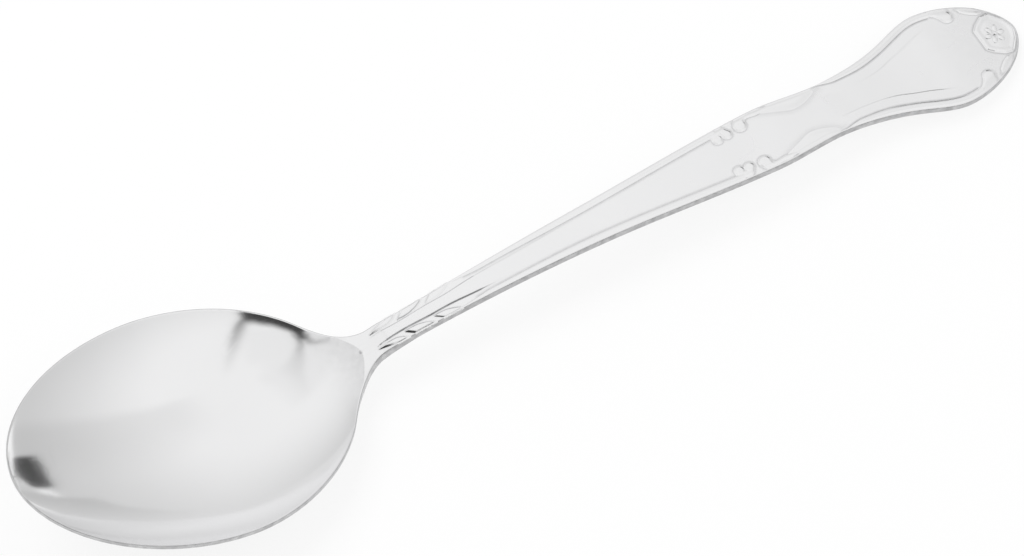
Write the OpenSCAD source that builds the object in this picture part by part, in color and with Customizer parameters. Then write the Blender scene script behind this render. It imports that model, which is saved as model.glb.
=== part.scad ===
// Table spoon with a broad oval bowl and a scroll-bordered handle, stamped from one piece of steel.
// The long axis is X, from the bowl's tip to the handle's tip. Z is up, and the spoon lies on Z = 0.

/* [Overall] */
// Length from the bowl's tip to the handle's tip
length = 180; // [170:1:200]

/* [Bowl] */
// Width of the bowl at its widest place
bowl_w = 41.2; // [38:0.1:45]
// Distance from the bowl's tip to its widest place
bowl_wide_at = 29.6; // [27:0.1:32]
// Distance from the widest place to the heel, where the bowl's oval would close
bowl_heel_l = 26.8; // [25:0.1:29]
// Depth inside the bowl, below the rim at the widest place
bowl_depth = 9; // [8:0.1:10]
// Thickness of the bowl's wall
bowl_wall = 1.3; // [1:0.05:1.5]
// Distance from the bowl's tip to its lowest place, which rests on the table
bowl_deep_at = 39; // [36:0.5:42]
// Rise of the rim from the widest place to the bowl's tip
tip_rise = 9.1; // [8:0.1:10]
// Drop of the rim from the widest place to the shoulders by the heel
heel_drop = 5; // [4.4:0.1:5.2]

/* [Neck and stem] */
// Distance from the shoulders, where the rim starts to fall, to the heel
shoulder_l = 2.7; // [2:0.1:3.2]
// Distance from the heel to the crease that ends the bowl's floor
crease_l = 0.9; // [0.5:0.1:1.5]
// Distance from the heel to the end of the neck
neck_l = 5.6; // [5:0.1:7]
// Distance from the neck's end to the stem's narrowest place
narrow_l = 8; // [6:0.5:10]
// Height of the neck's face at the end of the bowl's floor
neck_z = 5.1; // [4.6:0.1:5.3]
// Thickness of the neck at its edges
neck_t = 2.3; // [1.9:0.05:2.6]
// Width of the stem at its narrowest place
stem_w = 4.9; // [4.7:0.1:6]
// Width of the stem at its middle
stem_mid_w = 7.2; // [6.8:0.1:8.5]
// Thickness of the stem at its edges
stem_t = 1.7; // [1.4:0.05:2]
// Height of the stem's face where it starts
stem_z = 7.1; // [6.6:0.1:7.6]
// Height of the stem's face at the crown of its arch
arch_z = 8.8; // [8.2:0.1:9.6]
// How much thicker the middle of the neck and stem is than their edges
back_crown = 0.6; // [0.3:0.05:0.9]

/* [Handle end] */
// Distance of the waist, by the scrolls, from the handle's tip
waist_from_tip = 47.7; // [45:0.1:51]
// Width of the handle at its waist
waist_w = 11; // [10.4:0.1:12.4]
// Height of the face at the waist
waist_z = 7; // [6.4:0.1:7.6]
// Distance of the pinch after the waist from the handle's tip
pinch_from_tip = 33.7; // [32:0.1:36]
// Width of the handle at the pinch
pinch_w = 9.7; // [9.2:0.1:11]
// Height of the face at the pinch
pinch_z = 5.5; // [5:0.1:6]
// Distance of the middle of the flare from the handle's tip
flare_from_tip = 21.6; // [20.5:0.1:23.5]
// Width of the handle at the middle of its flare
flare_w = 14.3; // [13.4:0.1:15.4]
// Height of the face at the middle of the flare
flare_z = 3.8; // [3.4:0.1:4.2]
// Distance of the flat that the end rests on from the handle's tip
rest_from_tip = 4.6; // [4.2:0.1:6]
// Distance of the end's widest place from the handle's tip
end_from_tip = 14.1; // [13.6:0.1:15]
// Width of the handle's end at its widest place
end_w = 18.3; // [17.4:0.1:20]
// Thickness of the handle's end at its edges
end_t = 1.25; // [1:0.05:1.5]
// Thickness of the handle's end over the flat that it rests on
end_mid_t = 1.9; // [1.7:0.05:2.2]
// Fall of the face from that flat to the handle's tip
end_fall = 0.8; // [0.5:0.05:1]

/* [Ornament] */
// Height of the raised ornament over the face
relief_h = 0.4; // [0.2:0.05:0.6]
// Width of the raised border beads
border_w = 1.1; // [0.8:0.05:1.3]
// Width of the leaves along the neck
leaf_w = 1.2; // [0.9:0.05:1.4]
// Length of the leaves along the neck
leaf_l = 5.2; // [4:0.1:5.5]
// Half-width of a scroll's knob, which the other curls and leaves follow
scroll_r = 1.05; // [0.85:0.05:1.15]
// Width of the medallion
medallion_w = 8.6; // [7.6:0.1:9]
// Length of the medallion
medallion_l = 6.2; // [5.2:0.1:6.6]
// Diameter of the rosette
rosette_d = 3.4; // [2.8:0.1:3.8]

/* [Hidden] */

steel = [0.84, 0.84, 0.85];
bright_steel = [0.9, 0.9, 0.91];

// Shape exponents: of the bowl's outline, its cross-section and its floor, and of the outline of the
// handle's tip
bowl_pow = 1.92;
dish_pow = 2.3;
floor_pow = 2;
end_pow = 1.78;

// Places along the spoon, measured from the bowl's tip: those of the bowl and neck first
heel_at = bowl_wide_at + bowl_heel_l;
bowl_end = bowl_wide_at + 0.87 * bowl_heel_l;
shoulder_at = heel_at - shoulder_l;
crease_at = heel_at + crease_l;
neck_end = heel_at + neck_l;
narrow_at = neck_end + narrow_l;
stem_face_at = neck_end + narrow_l / 4;
// Those of the handle, which keep their distance from its tip
waist_at = length - waist_from_tip;
pinch_at = length - pinch_from_tip;
flare_at = length - flare_from_tip;
rest_at = length - rest_from_tip;
end_at = length - end_from_tip;
stem_mid_at = (narrow_at + waist_at) / 2;
arch_at = (crease_at + waist_at) / 2;
stem_end = arch_at + 0.7 * (waist_at - arch_at);

rim_z = bowl_depth + bowl_wall;
// How much wider the neck's end is than the stem's narrowest place, on each side
neck_flare = 0.1;
neck_half_w = stem_w / 2 + neck_flare;
neck_slope = -neck_flare / narrow_l;
// Half-width of the blunt first and last sections
tip_half_w = 0.8;
// How far the back of the handle's end is planed flat
planed = 0.2;

// Sections across, and steps along each zone
across_steps = 16;
tip_steps = 14;
heel_steps = 10;
neck_steps = 10;
stem_steps = 18;
flare_steps = 20;
end_steps = 12;

// Smooth curves

function hermite(x0, y0, m0, x1, y1, m1, x) =
    let (h = x1 - x0, t = (x - x0) / h)
    (2 * t ^ 3 - 3 * t ^ 2 + 1) * y0 + (t ^ 3 - 2 * t ^ 2 + t) * h * m0
    + (3 * t ^ 2 - 2 * t ^ 3) * y1 + (t ^ 3 - t ^ 2) * h * m1;

function slope_at(st, i, m_first, m_last) =
    i == 0 ? m_first
    : i == len(st) - 1 ? m_last
    : (st[i + 1][1] - st[i - 1][1]) / (st[i + 1][0] - st[i - 1][0]);

// Value at x of the smooth curve through the stations st, level outside them
function curve(st, x, m_first = 0, m_last = 0, i = 0) =
    x <= st[0][0] ? st[0][1]
    : x >= st[len(st) - 1][0] ? st[len(st) - 1][1]
    : x > st[i + 1][0] ? curve(st, x, m_first, m_last, i + 1)
    : hermite(st[i][0], st[i][1], slope_at(st, i, m_first, m_last),
              st[i + 1][0], st[i + 1][1], slope_at(st, i + 1, m_first, m_last), x);

function oval(t, n) = max(0, 1 - abs(t) ^ n) ^ (1 / n);
function oval_slope(t, n) = -(t ^ (n - 1)) * (1 - t ^ n) ^ (1 / n - 1);

// Outline, heights and thicknesses along the spoon

bowl_end_t = (bowl_end - bowl_wide_at) / bowl_heel_l;

width_stations = [
    [neck_end, neck_half_w],
    [narrow_at, stem_w / 2],
    [stem_mid_at, stem_mid_w / 2],
    [waist_at, waist_w / 2],
    [pinch_at, pinch_w / 2],
    [flare_at, flare_w / 2]
];
// How steeply each edge spreads at the middle of the flare
flare_slope = 0.8 * (end_w - pinch_w) / (end_at - pinch_at);

function half_width(s) =
    s < bowl_wide_at ? max(tip_half_w, bowl_w / 2 * oval(1 - s / bowl_wide_at, bowl_pow))
    : s < bowl_end ? bowl_w / 2 * oval((s - bowl_wide_at) / bowl_heel_l, bowl_pow)
    : s < neck_end ? hermite(bowl_end, bowl_w / 2 * oval(bowl_end_t, bowl_pow),
                             bowl_w / 2 / bowl_heel_l * oval_slope(bowl_end_t, bowl_pow),
                             neck_end, neck_half_w, neck_slope, s)
    : s < flare_at ? curve(width_stations, s, neck_slope, flare_slope)
    : s < end_at ? hermite(flare_at, flare_w / 2, flare_slope, end_at, end_w / 2, 0, s)
    : max(tip_half_w, end_w / 2 * oval((s - end_at) / (length - end_at), end_pow));

// The rim falls all the way from the bowl's tip to its heel
tip_z = rim_z + tip_rise;
tip_chord = -tip_rise / bowl_wide_at;
rim_chord = -(tip_rise + heel_drop) / shoulder_at;
tip_slope = (3 * tip_chord - rim_chord) / 2;

height_stations = [
    [0, tip_z],
    [bowl_wide_at, rim_z],
    [shoulder_at, rim_z - heel_drop],
    [crease_at, neck_z],
    [stem_face_at, stem_z],
    [arch_at, arch_z],
    [waist_at, waist_z],
    [pinch_at, pinch_z],
    [flare_at, flare_z],
    [rest_at, end_mid_t],
    [length, end_mid_t - end_fall]
];

// Height of the rim, and past the bowl of the whole face of the handle
function edge_z(s) = curve(height_stations, s, tip_slope);

// Height of the bowl's floor along the middle of the spoon
function floor_z(s) =
    s < bowl_deep_at
        ? bowl_wall + (tip_z - bowl_wall) * (1 - s / bowl_deep_at) ^ floor_pow
    : s < crease_at
        ? bowl_wall + (neck_z - bowl_wall)
                      * ((s - bowl_deep_at) / (crease_at - bowl_deep_at)) ^ floor_pow
    : edge_z(s);

edge_t_stations = [
    [shoulder_at, bowl_wall],
    [crease_at, neck_t],
    [narrow_at, stem_t],
    [pinch_at, (stem_t + end_t) / 2],
    [rest_at, end_t]
];

crown_stations = [
    [shoulder_at, 0],
    [crease_at, back_crown],
    [pinch_at, back_crown],
    [rest_at, end_mid_t - end_t + planed]
];

// Sections of the blank: v runs from -1 to 1 across the width

function top_z(s, v) = edge_z(s) - (edge_z(s) - floor_z(s)) * (1 - abs(v) ^ dish_pow);
function back_z(s, v) =
    top_z(s, v) - curve(edge_t_stations, s) - curve(crown_stations, s) * (1 - v ^ 2);

across = [for (j = [0 : across_steps]) sin(180 * j / across_steps - 90)];

function section(s) = concat(
    [for (v = across) [s - length / 2, v * half_width(s), top_z(s, v)]],
    [for (v = across) [s - length / 2, v * half_width(s), back_z(s, v)]]);

// Closed solid through the sections at the given places
module blank(places) {
    m = len(across);
    last = len(places) - 1;
    function top(i, j) = i * 2 * m + j;
    function back(i, j) = i * 2 * m + m + j;
    points = [for (s = places) each section(s)];
    faces = concat(
        [for (i = [0 : last - 1], j = [0 : m - 2])
            [top(i, j), top(i, j + 1), top(i + 1, j + 1), top(i + 1, j)]],
        [for (i = [0 : last - 1], j = [0 : m - 2])
            [back(i, j), back(i + 1, j), back(i + 1, j + 1), back(i, j + 1)]],
        [for (i = [0 : last - 1])
            [top(i, 0), top(i + 1, 0), back(i + 1, 0), back(i, 0)]],
        [for (i = [0 : last - 1])
            [top(i, m - 1), back(i, m - 1), back(i + 1, m - 1), top(i + 1, m - 1)]],
        [for (j = [0 : m - 2])
            [top(0, j), back(0, j), back(0, j + 1), top(0, j + 1)]],
        [for (j = [0 : m - 2])
            [top(last, j), top(last, j + 1), back(last, j + 1), back(last, j)]]);
    polyhedron(points, faces);
}

function spread(from, to, steps) = [for (i = [0 : steps]) from + (to - from) * i / steps];

// Places close together at the two tips, where the outline turns
bowl_places = concat(
    [for (i = [0 : tip_steps - 1]) bowl_wide_at * (1 - cos(90 * i / tip_steps))],
    spread(bowl_wide_at, bowl_end, heel_steps));
neck_places = spread(bowl_end, neck_end, neck_steps);
stem_places = spread(neck_end, stem_end, stem_steps);
end_places = concat(
    spread(stem_end, end_at, flare_steps),
    [for (i = [1 : end_steps]) end_at + (length - end_at) * sin(90 * i / end_steps)]);
handle_places = concat(stem_places, [for (i = [1 : len(end_places) - 1]) end_places[i]]);

module bowl() {
    color(steel)
        blank(bowl_places);
}

module neck() {
    color(steel)
        blank(neck_places);
}

module stem() {
    color(steel)
        blank(stem_places);
}

// The back of the end is planed where it rests on the table
module handle_end() {
    color(steel)
        difference() {
            blank(end_places);
            translate([stem_end - length / 2, -end_w / 2, -end_w])
                cube([length - stem_end, end_w, end_w]);
        }
}

// Raised ornament: ridges that follow a path on the face. A path point is [s, y, half-width].

// Profile of a ridge: share of its half-width, and of the relief's height
ridge_profile = [[-1, 0], [-0.75, 0.7], [-0.3, 1], [0.3, 1], [0.75, 0.7], [1, 0]];

// Height of the face between the sections that the blank is made of
face_places = concat([for (s = neck_places) if (s > crease_at && s < neck_end) s], handle_places);
face_table = [for (s = face_places) [s, edge_z(s)]];
function face_z(s) = lookup(s, face_table);

function path_normal(path, i) =
    let (a = path[max(i - 1, 0)], b = path[min(i + 1, len(path) - 1)])
    let (d = [b[0] - a[0], b[1] - a[1]])
    [-d[1], d[0]] / norm(d);

function ridge_point(p, n, profile, lift) =
    let (s = p[0] + n[0] * p[2] * profile[0], y = p[1] + n[1] * p[2] * profile[0])
    [s - length / 2, y, face_z(s) + lift + relief_h * profile[1]];

// Closed solid through rings of points, which all have the same count
module ring_solid(rings) {
    k = len(rings[0]);
    last = len(rings) - 1;
    faces = concat(
        [for (i = [0 : last - 1], j = [0 : k - 1])
            let (j2 = (j + 1) % k)
            [i * k + j, i * k + j2, (i + 1) * k + j2, (i + 1) * k + j]],
        [[for (j = [k - 1 : -1 : 0]) j]],
        [[for (j = [0 : k - 1]) last * k + j]]);
    polyhedron([for (ring = rings) each ring], faces);
}

// Ridge along a path, on the face or lifted off it
module ridge(path, lift = 0) {
    ring_solid([for (i = [0 : len(path) - 1])
        [for (q = ridge_profile) ridge_point(path[i], path_normal(path, i), q, lift)]]);
}

module both_edges() {
    children();
    mirror([0, 1, 0])
        children();
}

// Clear strip between the ornament and the handle's edge, and half-width of a ridge's fine end
rim_strip = 0.15;
fine_end = 0.12;
bead_inset = rim_strip + border_w / 2;

// Path point that keeps a distance from the handle's edge
function edge_point(s, inset, half_w) = [s, half_width(s) - inset, half_w];

// Smooth path through a few path points
path_steps = 4;
function cubic(a, b, c, d, t) =
    0.5 * (2 * b + (c - a) * t + (2 * a - 5 * b + 4 * c - d) * t ^ 2 + (3 * b - a - 3 * c + d) * t ^ 3);
function smooth_path(p) =
    let (last = len(p) - 1)
    concat(
        [for (i = [0 : last - 1], k = [0 : path_steps - 1])
            cubic(p[max(i - 1, 0)], p[i], p[i + 1], p[min(i + 2, last)], k / path_steps)],
        [p[last]]);

// Curl or leaf from steps of [distance along, inset from the edge, half-width], in knob half-widths
function curl_path(from, steps) = smooth_path([
    for (p = steps) edge_point(from + p[0] * scroll_r, p[1] * scroll_r, max(fine_end, p[2] * scroll_r))
]);

// Lens-shaped path between two points
leaf_steps = 8;
function lens_path(a, b, half_w) = [
    for (i = [0 : leaf_steps])
        let (t = i / leaf_steps, p = a + (b - a) * t)
        [p[0], p[1], fine_end + (half_w - fine_end) * sin(180 * t)]
];

// Leaves along the neck, which slant towards the edge
leaf_count = 3;
leaf_gap = 0.4;
leaf_slant = 0.35;
leaf_pitch = leaf_l + leaf_gap;
leaf_from = neck_end - leaf_pitch / 4;
leaf_inset = rim_strip + leaf_w / 2;
leaves_end = leaf_from + leaf_count * leaf_pitch;

module neck_leaves() {
    color(bright_steel)
        both_edges()
            for (i = [0 : leaf_count - 1]) {
                from = leaf_from + i * leaf_pitch;
                to = from + leaf_l;
                ridge(lens_path([from, half_width(from) - leaf_inset - leaf_slant],
                                [to, half_width(to) - leaf_inset], leaf_w / 2));
            }
}

// Beads along the stem's edges, as far as the waist scrolls
bead_end = waist_at - 7.15 * scroll_r;
stem_bead_places = concat(
    [leaves_end], [for (s = handle_places) if (s > leaves_end && s < bead_end) s], [bead_end]);

module stem_borders() {
    color(bright_steel)
        both_edges()
            ridge([for (s = stem_bead_places) edge_point(s, bead_inset, border_w / 2)]);
}

// Curls at the waist: two lobes that end the stem's bead, and a hook that starts the next one
lobes_at = [-6.2, -4.5];
lobe_steps = [[0.1, 0.52, 0], [0, 1.25, 0.57], [0, 2.1, 0.71], [0.1, 2.75, 0]];
hook_at = -1.9;
hook_steps = [[0.1, 2.8, 0], [0, 2.3, 0.9], [0, 1.5, 1], [0.85, 0.8, 0.6], [2.5, 0.67, 0.48],
              [4.75, 0.8, 0]];

module waist_scrolls() {
    color(bright_steel)
        both_edges() {
            for (at = lobes_at)
                ridge(curl_path(waist_at + at * scroll_r, lobe_steps));
            ridge(curl_path(waist_at + hook_at * scroll_r, hook_steps));
        }
}

// Long soft leaves between the waist scrolls and the pinch
waist_leaf_from = 3.6;
waist_leaf_steps = [[0, 1.8, 0], [3.3, 1.5, 0.8], [6.1, 1.25, 0.76], [9.3, 0.6, 0]];

module waist_leaves() {
    color(bright_steel)
        both_edges()
            ridge(curl_path(waist_at + waist_leaf_from * scroll_r, waist_leaf_steps));
}

// Beads along the edges of the end, and the hooked curls that finish them
end_bead_places = concat([pinch_at], [for (s = end_places) if (s > pinch_at && s <= end_at) s]);

module end_borders() {
    color(bright_steel)
        both_edges()
            ridge([for (s = end_bead_places) edge_point(s, bead_inset, border_w / 2)]);
}

end_curl_steps = [[0.3, 0.76, 0.52], [2.4, 0.8, 0.55], [3.9, 1, 0.7], [4.75, 1.8, 1.05], [4.85, 2.4, 0.85],
                  [4.8, 2.95, 0]];

module end_scrolls() {
    color(bright_steel)
        both_edges()
            ridge(curl_path(end_at, end_curl_steps));
}

// Leaves between the curls and the medallion
tip_leaf_steps = [[6.6, 0.67, 0], [7.6, 1, 0.6], [8.9, 1, 0.62], [10.2, 0.75, 0]];

module tip_leaves() {
    color(bright_steel)
        both_edges()
            ridge(curl_path(end_at, tip_leaf_steps));
}

// Shield at the handle's tip. Its corners lie on one of the blank's sections.
tip_margin = 0.5;
medallion_bevel = 0.3;
medallion_tip = length - tip_margin;
medallion_from = medallion_tip - medallion_l;
medallion_mid = end_at + (length - end_at) * sin(45);
medallion_places = concat(
    [medallion_from],
    [for (s = end_places) if (s > medallion_from && s < medallion_tip) s],
    [medallion_tip]);
medallion_half_widths = [
    [medallion_from, medallion_w * 0.27],
    [medallion_mid, medallion_w / 2],
    [medallion_tip, tip_half_w]
];

function medallion_section(s) =
    let (half_w = lookup(s, medallion_half_widths))
    let (x = s - length / 2, top_half_w = half_w - medallion_bevel, top_z = face_z(s) + relief_h)
    [[x, -half_w, face_z(s)], [x, -top_half_w, top_z], [x, top_half_w, top_z], [x, half_w, face_z(s)]];

module medallion() {
    color(bright_steel)
        ring_solid([for (s = medallion_places) medallion_section(s)]);
}

// Flower on the medallion: a bud with petals round it
petal_count = 6;
bud_r = rosette_d * 0.19;
petal_half_w = rosette_d * 0.12;
petal_gap = rosette_d * 0.03;

module rosette() {
    color(bright_steel) {
        ridge(lens_path([medallion_mid - bud_r, 0], [medallion_mid + bud_r, 0], bud_r), relief_h);
        for (i = [0 : petal_count - 1]) {
            away = [cos(360 / petal_count * i), sin(360 / petal_count * i)];
            middle = [medallion_mid, 0];
            root = middle + away * (bud_r + petal_gap);
            ridge(lens_path(root, middle + away * rosette_d / 2, petal_half_w), relief_h);
        }
    }
}

bowl();
neck();
stem();
handle_end();
neck_leaves();
stem_borders();
waist_scrolls();
waist_leaves();
end_borders();
end_scrolls();
tip_leaves();
medallion();
rosette();
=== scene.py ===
"""Dressed model of a table spoon: a polished steel blank with raised scroll ornament, in a white studio.

Lengths are in millimetres from the bowl's tip until a mesh is made, and in metres from there on. A place
along the spoon is called s, a place across it y, and heights are measured from the table.
"""

import logging
import math
from collections.abc import Callable, Sequence
from dataclasses import dataclass, field
from enum import Enum
from functools import cache

import bpy
import numpy as np
from mathutils import Matrix, Vector


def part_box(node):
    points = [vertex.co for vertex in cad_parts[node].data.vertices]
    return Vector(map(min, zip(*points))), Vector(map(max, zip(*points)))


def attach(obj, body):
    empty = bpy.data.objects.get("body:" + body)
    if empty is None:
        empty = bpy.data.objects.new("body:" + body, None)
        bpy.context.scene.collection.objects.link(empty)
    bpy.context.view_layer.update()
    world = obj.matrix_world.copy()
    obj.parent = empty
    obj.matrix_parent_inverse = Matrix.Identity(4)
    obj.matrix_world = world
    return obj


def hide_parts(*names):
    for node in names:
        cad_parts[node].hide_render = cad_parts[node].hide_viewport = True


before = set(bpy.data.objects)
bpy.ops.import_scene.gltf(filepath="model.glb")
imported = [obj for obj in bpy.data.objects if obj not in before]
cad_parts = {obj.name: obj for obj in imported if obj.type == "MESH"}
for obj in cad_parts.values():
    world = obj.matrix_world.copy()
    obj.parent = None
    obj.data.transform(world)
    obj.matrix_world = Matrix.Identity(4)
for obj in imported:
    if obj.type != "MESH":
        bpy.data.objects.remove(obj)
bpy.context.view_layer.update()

MM = 0.001
BODY = "root"
PHOTO_WIDTH = 1024
WHITE = (1.0, 1.0, 1.0, 1.0)

# Smallest half-width and smallest length to divide by, and a distance that is out of every reach
LEAST_HALF = 1e-6
LEAST_LENGTH = 1e-9
FAR = 1000.0

# Decimals of a millimetre in which points that are welded agree
WELD_DIGITS = 5

log = logging.getLogger("spoon")

Field = Callable[[np.ndarray, np.ndarray], np.ndarray]
Curve = Callable[[np.ndarray], np.ndarray]
Span = tuple[float, float]
Stations = Sequence[Span]
Point = tuple[float, float, float]
Colour = tuple[float, float, float]

# Disc in plan: place along the spoon, place across it and radius
Disc = tuple[float, float, float]


class Slot(Enum):
    """Material slots of the record that the pieces take their finish from."""

    POLISHED = "polished_steel"
    RELIEF = "relief_steel"


# Curves and distances


def smooth_step(low: float | np.ndarray, high: float | np.ndarray, value: np.ndarray) -> np.ndarray:
    """Ease from 0 at low to 1 at high.

    Args:
        low: value at which the ease starts.
        high: value at which it ends.
        value: values to ease.

    Returns:
        The eased shares, from 0 to 1.
    """
    t = np.clip((value - low) / (high - low), 0, 1)
    return t * t * (3 - 2 * t)


def window(rise: Span, fall: Span, value: np.ndarray) -> np.ndarray:
    """Share that eases in over one span of values, and out again over another."""
    return smooth_step(*rise, value) * (1 - smooth_step(*fall, value))


def soft_band(off: np.ndarray, before: float | np.ndarray, after: float | np.ndarray) -> np.ndarray:
    """Share that is 1 where off is 0, and fades over one width before that and another after it."""
    return 1 - smooth_step(0, np.where(off < 0, before, after), np.abs(off))


def soft_positive(value: np.ndarray, blend: float) -> np.ndarray:
    """Positive part of a value, with its corner at zero rounded over about blend."""
    return (value + np.sqrt(value * value + blend * blend)) / 2


def soft_min(a: np.ndarray, b: np.ndarray, blend: float) -> np.ndarray:
    """Smaller of two distances, with the valley between them filleted over about blend."""
    share = np.clip(0.5 + (b - a) / (2 * blend), 0, 1)
    return b + (a - b) * share - blend * share * (1 - share)


def bend(t: float, start: np.ndarray, corner: np.ndarray, end: np.ndarray) -> np.ndarray:
    """Value at a share t of a round bend from start to end, with the corner cut."""
    return (1 - t) ** 2 * start + 2 * t * (1 - t) * corner + t * t * end


def slope_at(curve: Curve, x: np.ndarray, step: float) -> np.ndarray:
    """Slope of a curve at places, from a step to both sides of them."""
    return (curve(x + step) - curve(x - step)) / (2 * step)


def broken_line(stations: Stations, x: np.ndarray) -> np.ndarray:
    """Straight stretches between stations, level outside them."""
    return np.interp(x, *np.array(stations, float).T)


def hermite(
    start: Sequence[float | np.ndarray], end: Sequence[float | np.ndarray], x: np.ndarray
) -> np.ndarray:
    """Cubic between two places.

    Args:
        start: place, value and slope at the start.
        end: place, value and slope at the end.
        x: places to evaluate.

    Returns:
        The values of the cubic.
    """
    (x0, y0, m0), (x1, y1, m1) = start, end
    h = x1 - x0
    t = (x - x0) / h
    rise = t * t * (3 - 2 * t)
    return y0 + (y1 - y0) * rise + h * (m0 * t * (1 - t) ** 2 - m1 * t * t * (1 - t))


def smooth_curve(
    stations: Stations, x: np.ndarray, first_slope: float = 0.0, last_slope: float = 0.0
) -> np.ndarray:
    """Smooth curve through stations, level outside them.

    Args:
        stations: places and values that the curve goes through.
        x: places to evaluate.
        first_slope: slope at the first station.
        last_slope: slope at the last one.

    Returns:
        The values of the curve.
    """
    places, values = np.array(stations, float).T
    slopes = np.zeros_like(places)
    slopes[1:-1] = (values[2:] - values[:-2]) / (places[2:] - places[:-2])
    slopes[0], slopes[-1] = first_slope, last_slope
    at = np.clip(x, places[0], places[-1])
    i = np.clip(np.searchsorted(places, at, side="right") - 1, 0, len(places) - 2)
    start, end = ((places[j], values[j], slopes[j]) for j in (i, i + 1))
    return hermite(start, end, at)


def oval(t: np.ndarray, power: float) -> np.ndarray:
    """Half-width of a superellipse of half-width 1, at a share t of its half-length."""
    return np.maximum(0, 1 - np.abs(t) ** power) ** (1 / power)


def bar(s: np.ndarray, y: np.ndarray, start: Disc, end: Disc) -> np.ndarray:
    """Distance to a round-ended bar.

    Args:
        s: places along the spoon.
        y: places across it.
        start: disc at one end.
        end: disc at the other end.

    Returns:
        Signed distances, negative inside.
    """
    run, lean = end[0] - start[0], end[1] - start[1]
    t = np.clip(((s - start[0]) * run + (y - start[1]) * lean) / (run * run + lean * lean), 0, 1)
    radius = start[2] + (end[2] - start[2]) * t
    return np.hypot(s - start[0] - t * run, y - start[1] - t * lean) - radius


def chain(s: np.ndarray, y: np.ndarray, discs: Sequence[Disc]) -> np.ndarray:
    """Distance to a row of bars that share the discs at their ends."""
    return np.min([bar(s, y, a, b) for a, b in zip(discs, discs[1:])], axis=0)


def rounded_polygon(s: np.ndarray, y: np.ndarray, corners: Stations, radius: float) -> np.ndarray:
    """Distance to a polygon grown by a radius, so that its corners are round.

    Args:
        s: places along the spoon.
        y: places across it.
        corners: corners before they are grown, in order.
        radius: growth.

    Returns:
        Signed distances, negative inside.
    """
    nearest = np.full(np.shape(s), np.inf)
    inside = np.zeros(np.shape(s), bool)
    for (s0, y0), (s1, y1) in zip(corners, [*corners[1:], corners[0]]):
        nearest = np.minimum(nearest, bar(s, y, (s0, y0, 0), (s1, y1, 0)))
        crosses = (y0 > y) != (y1 > y)
        rise = y1 - y0 if y1 != y0 else 1.0
        inside ^= crosses & (s < s0 + (s1 - s0) * (y - y0) / rise)
    return np.where(inside, -nearest, nearest) - radius


# Form of the spoon


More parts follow.
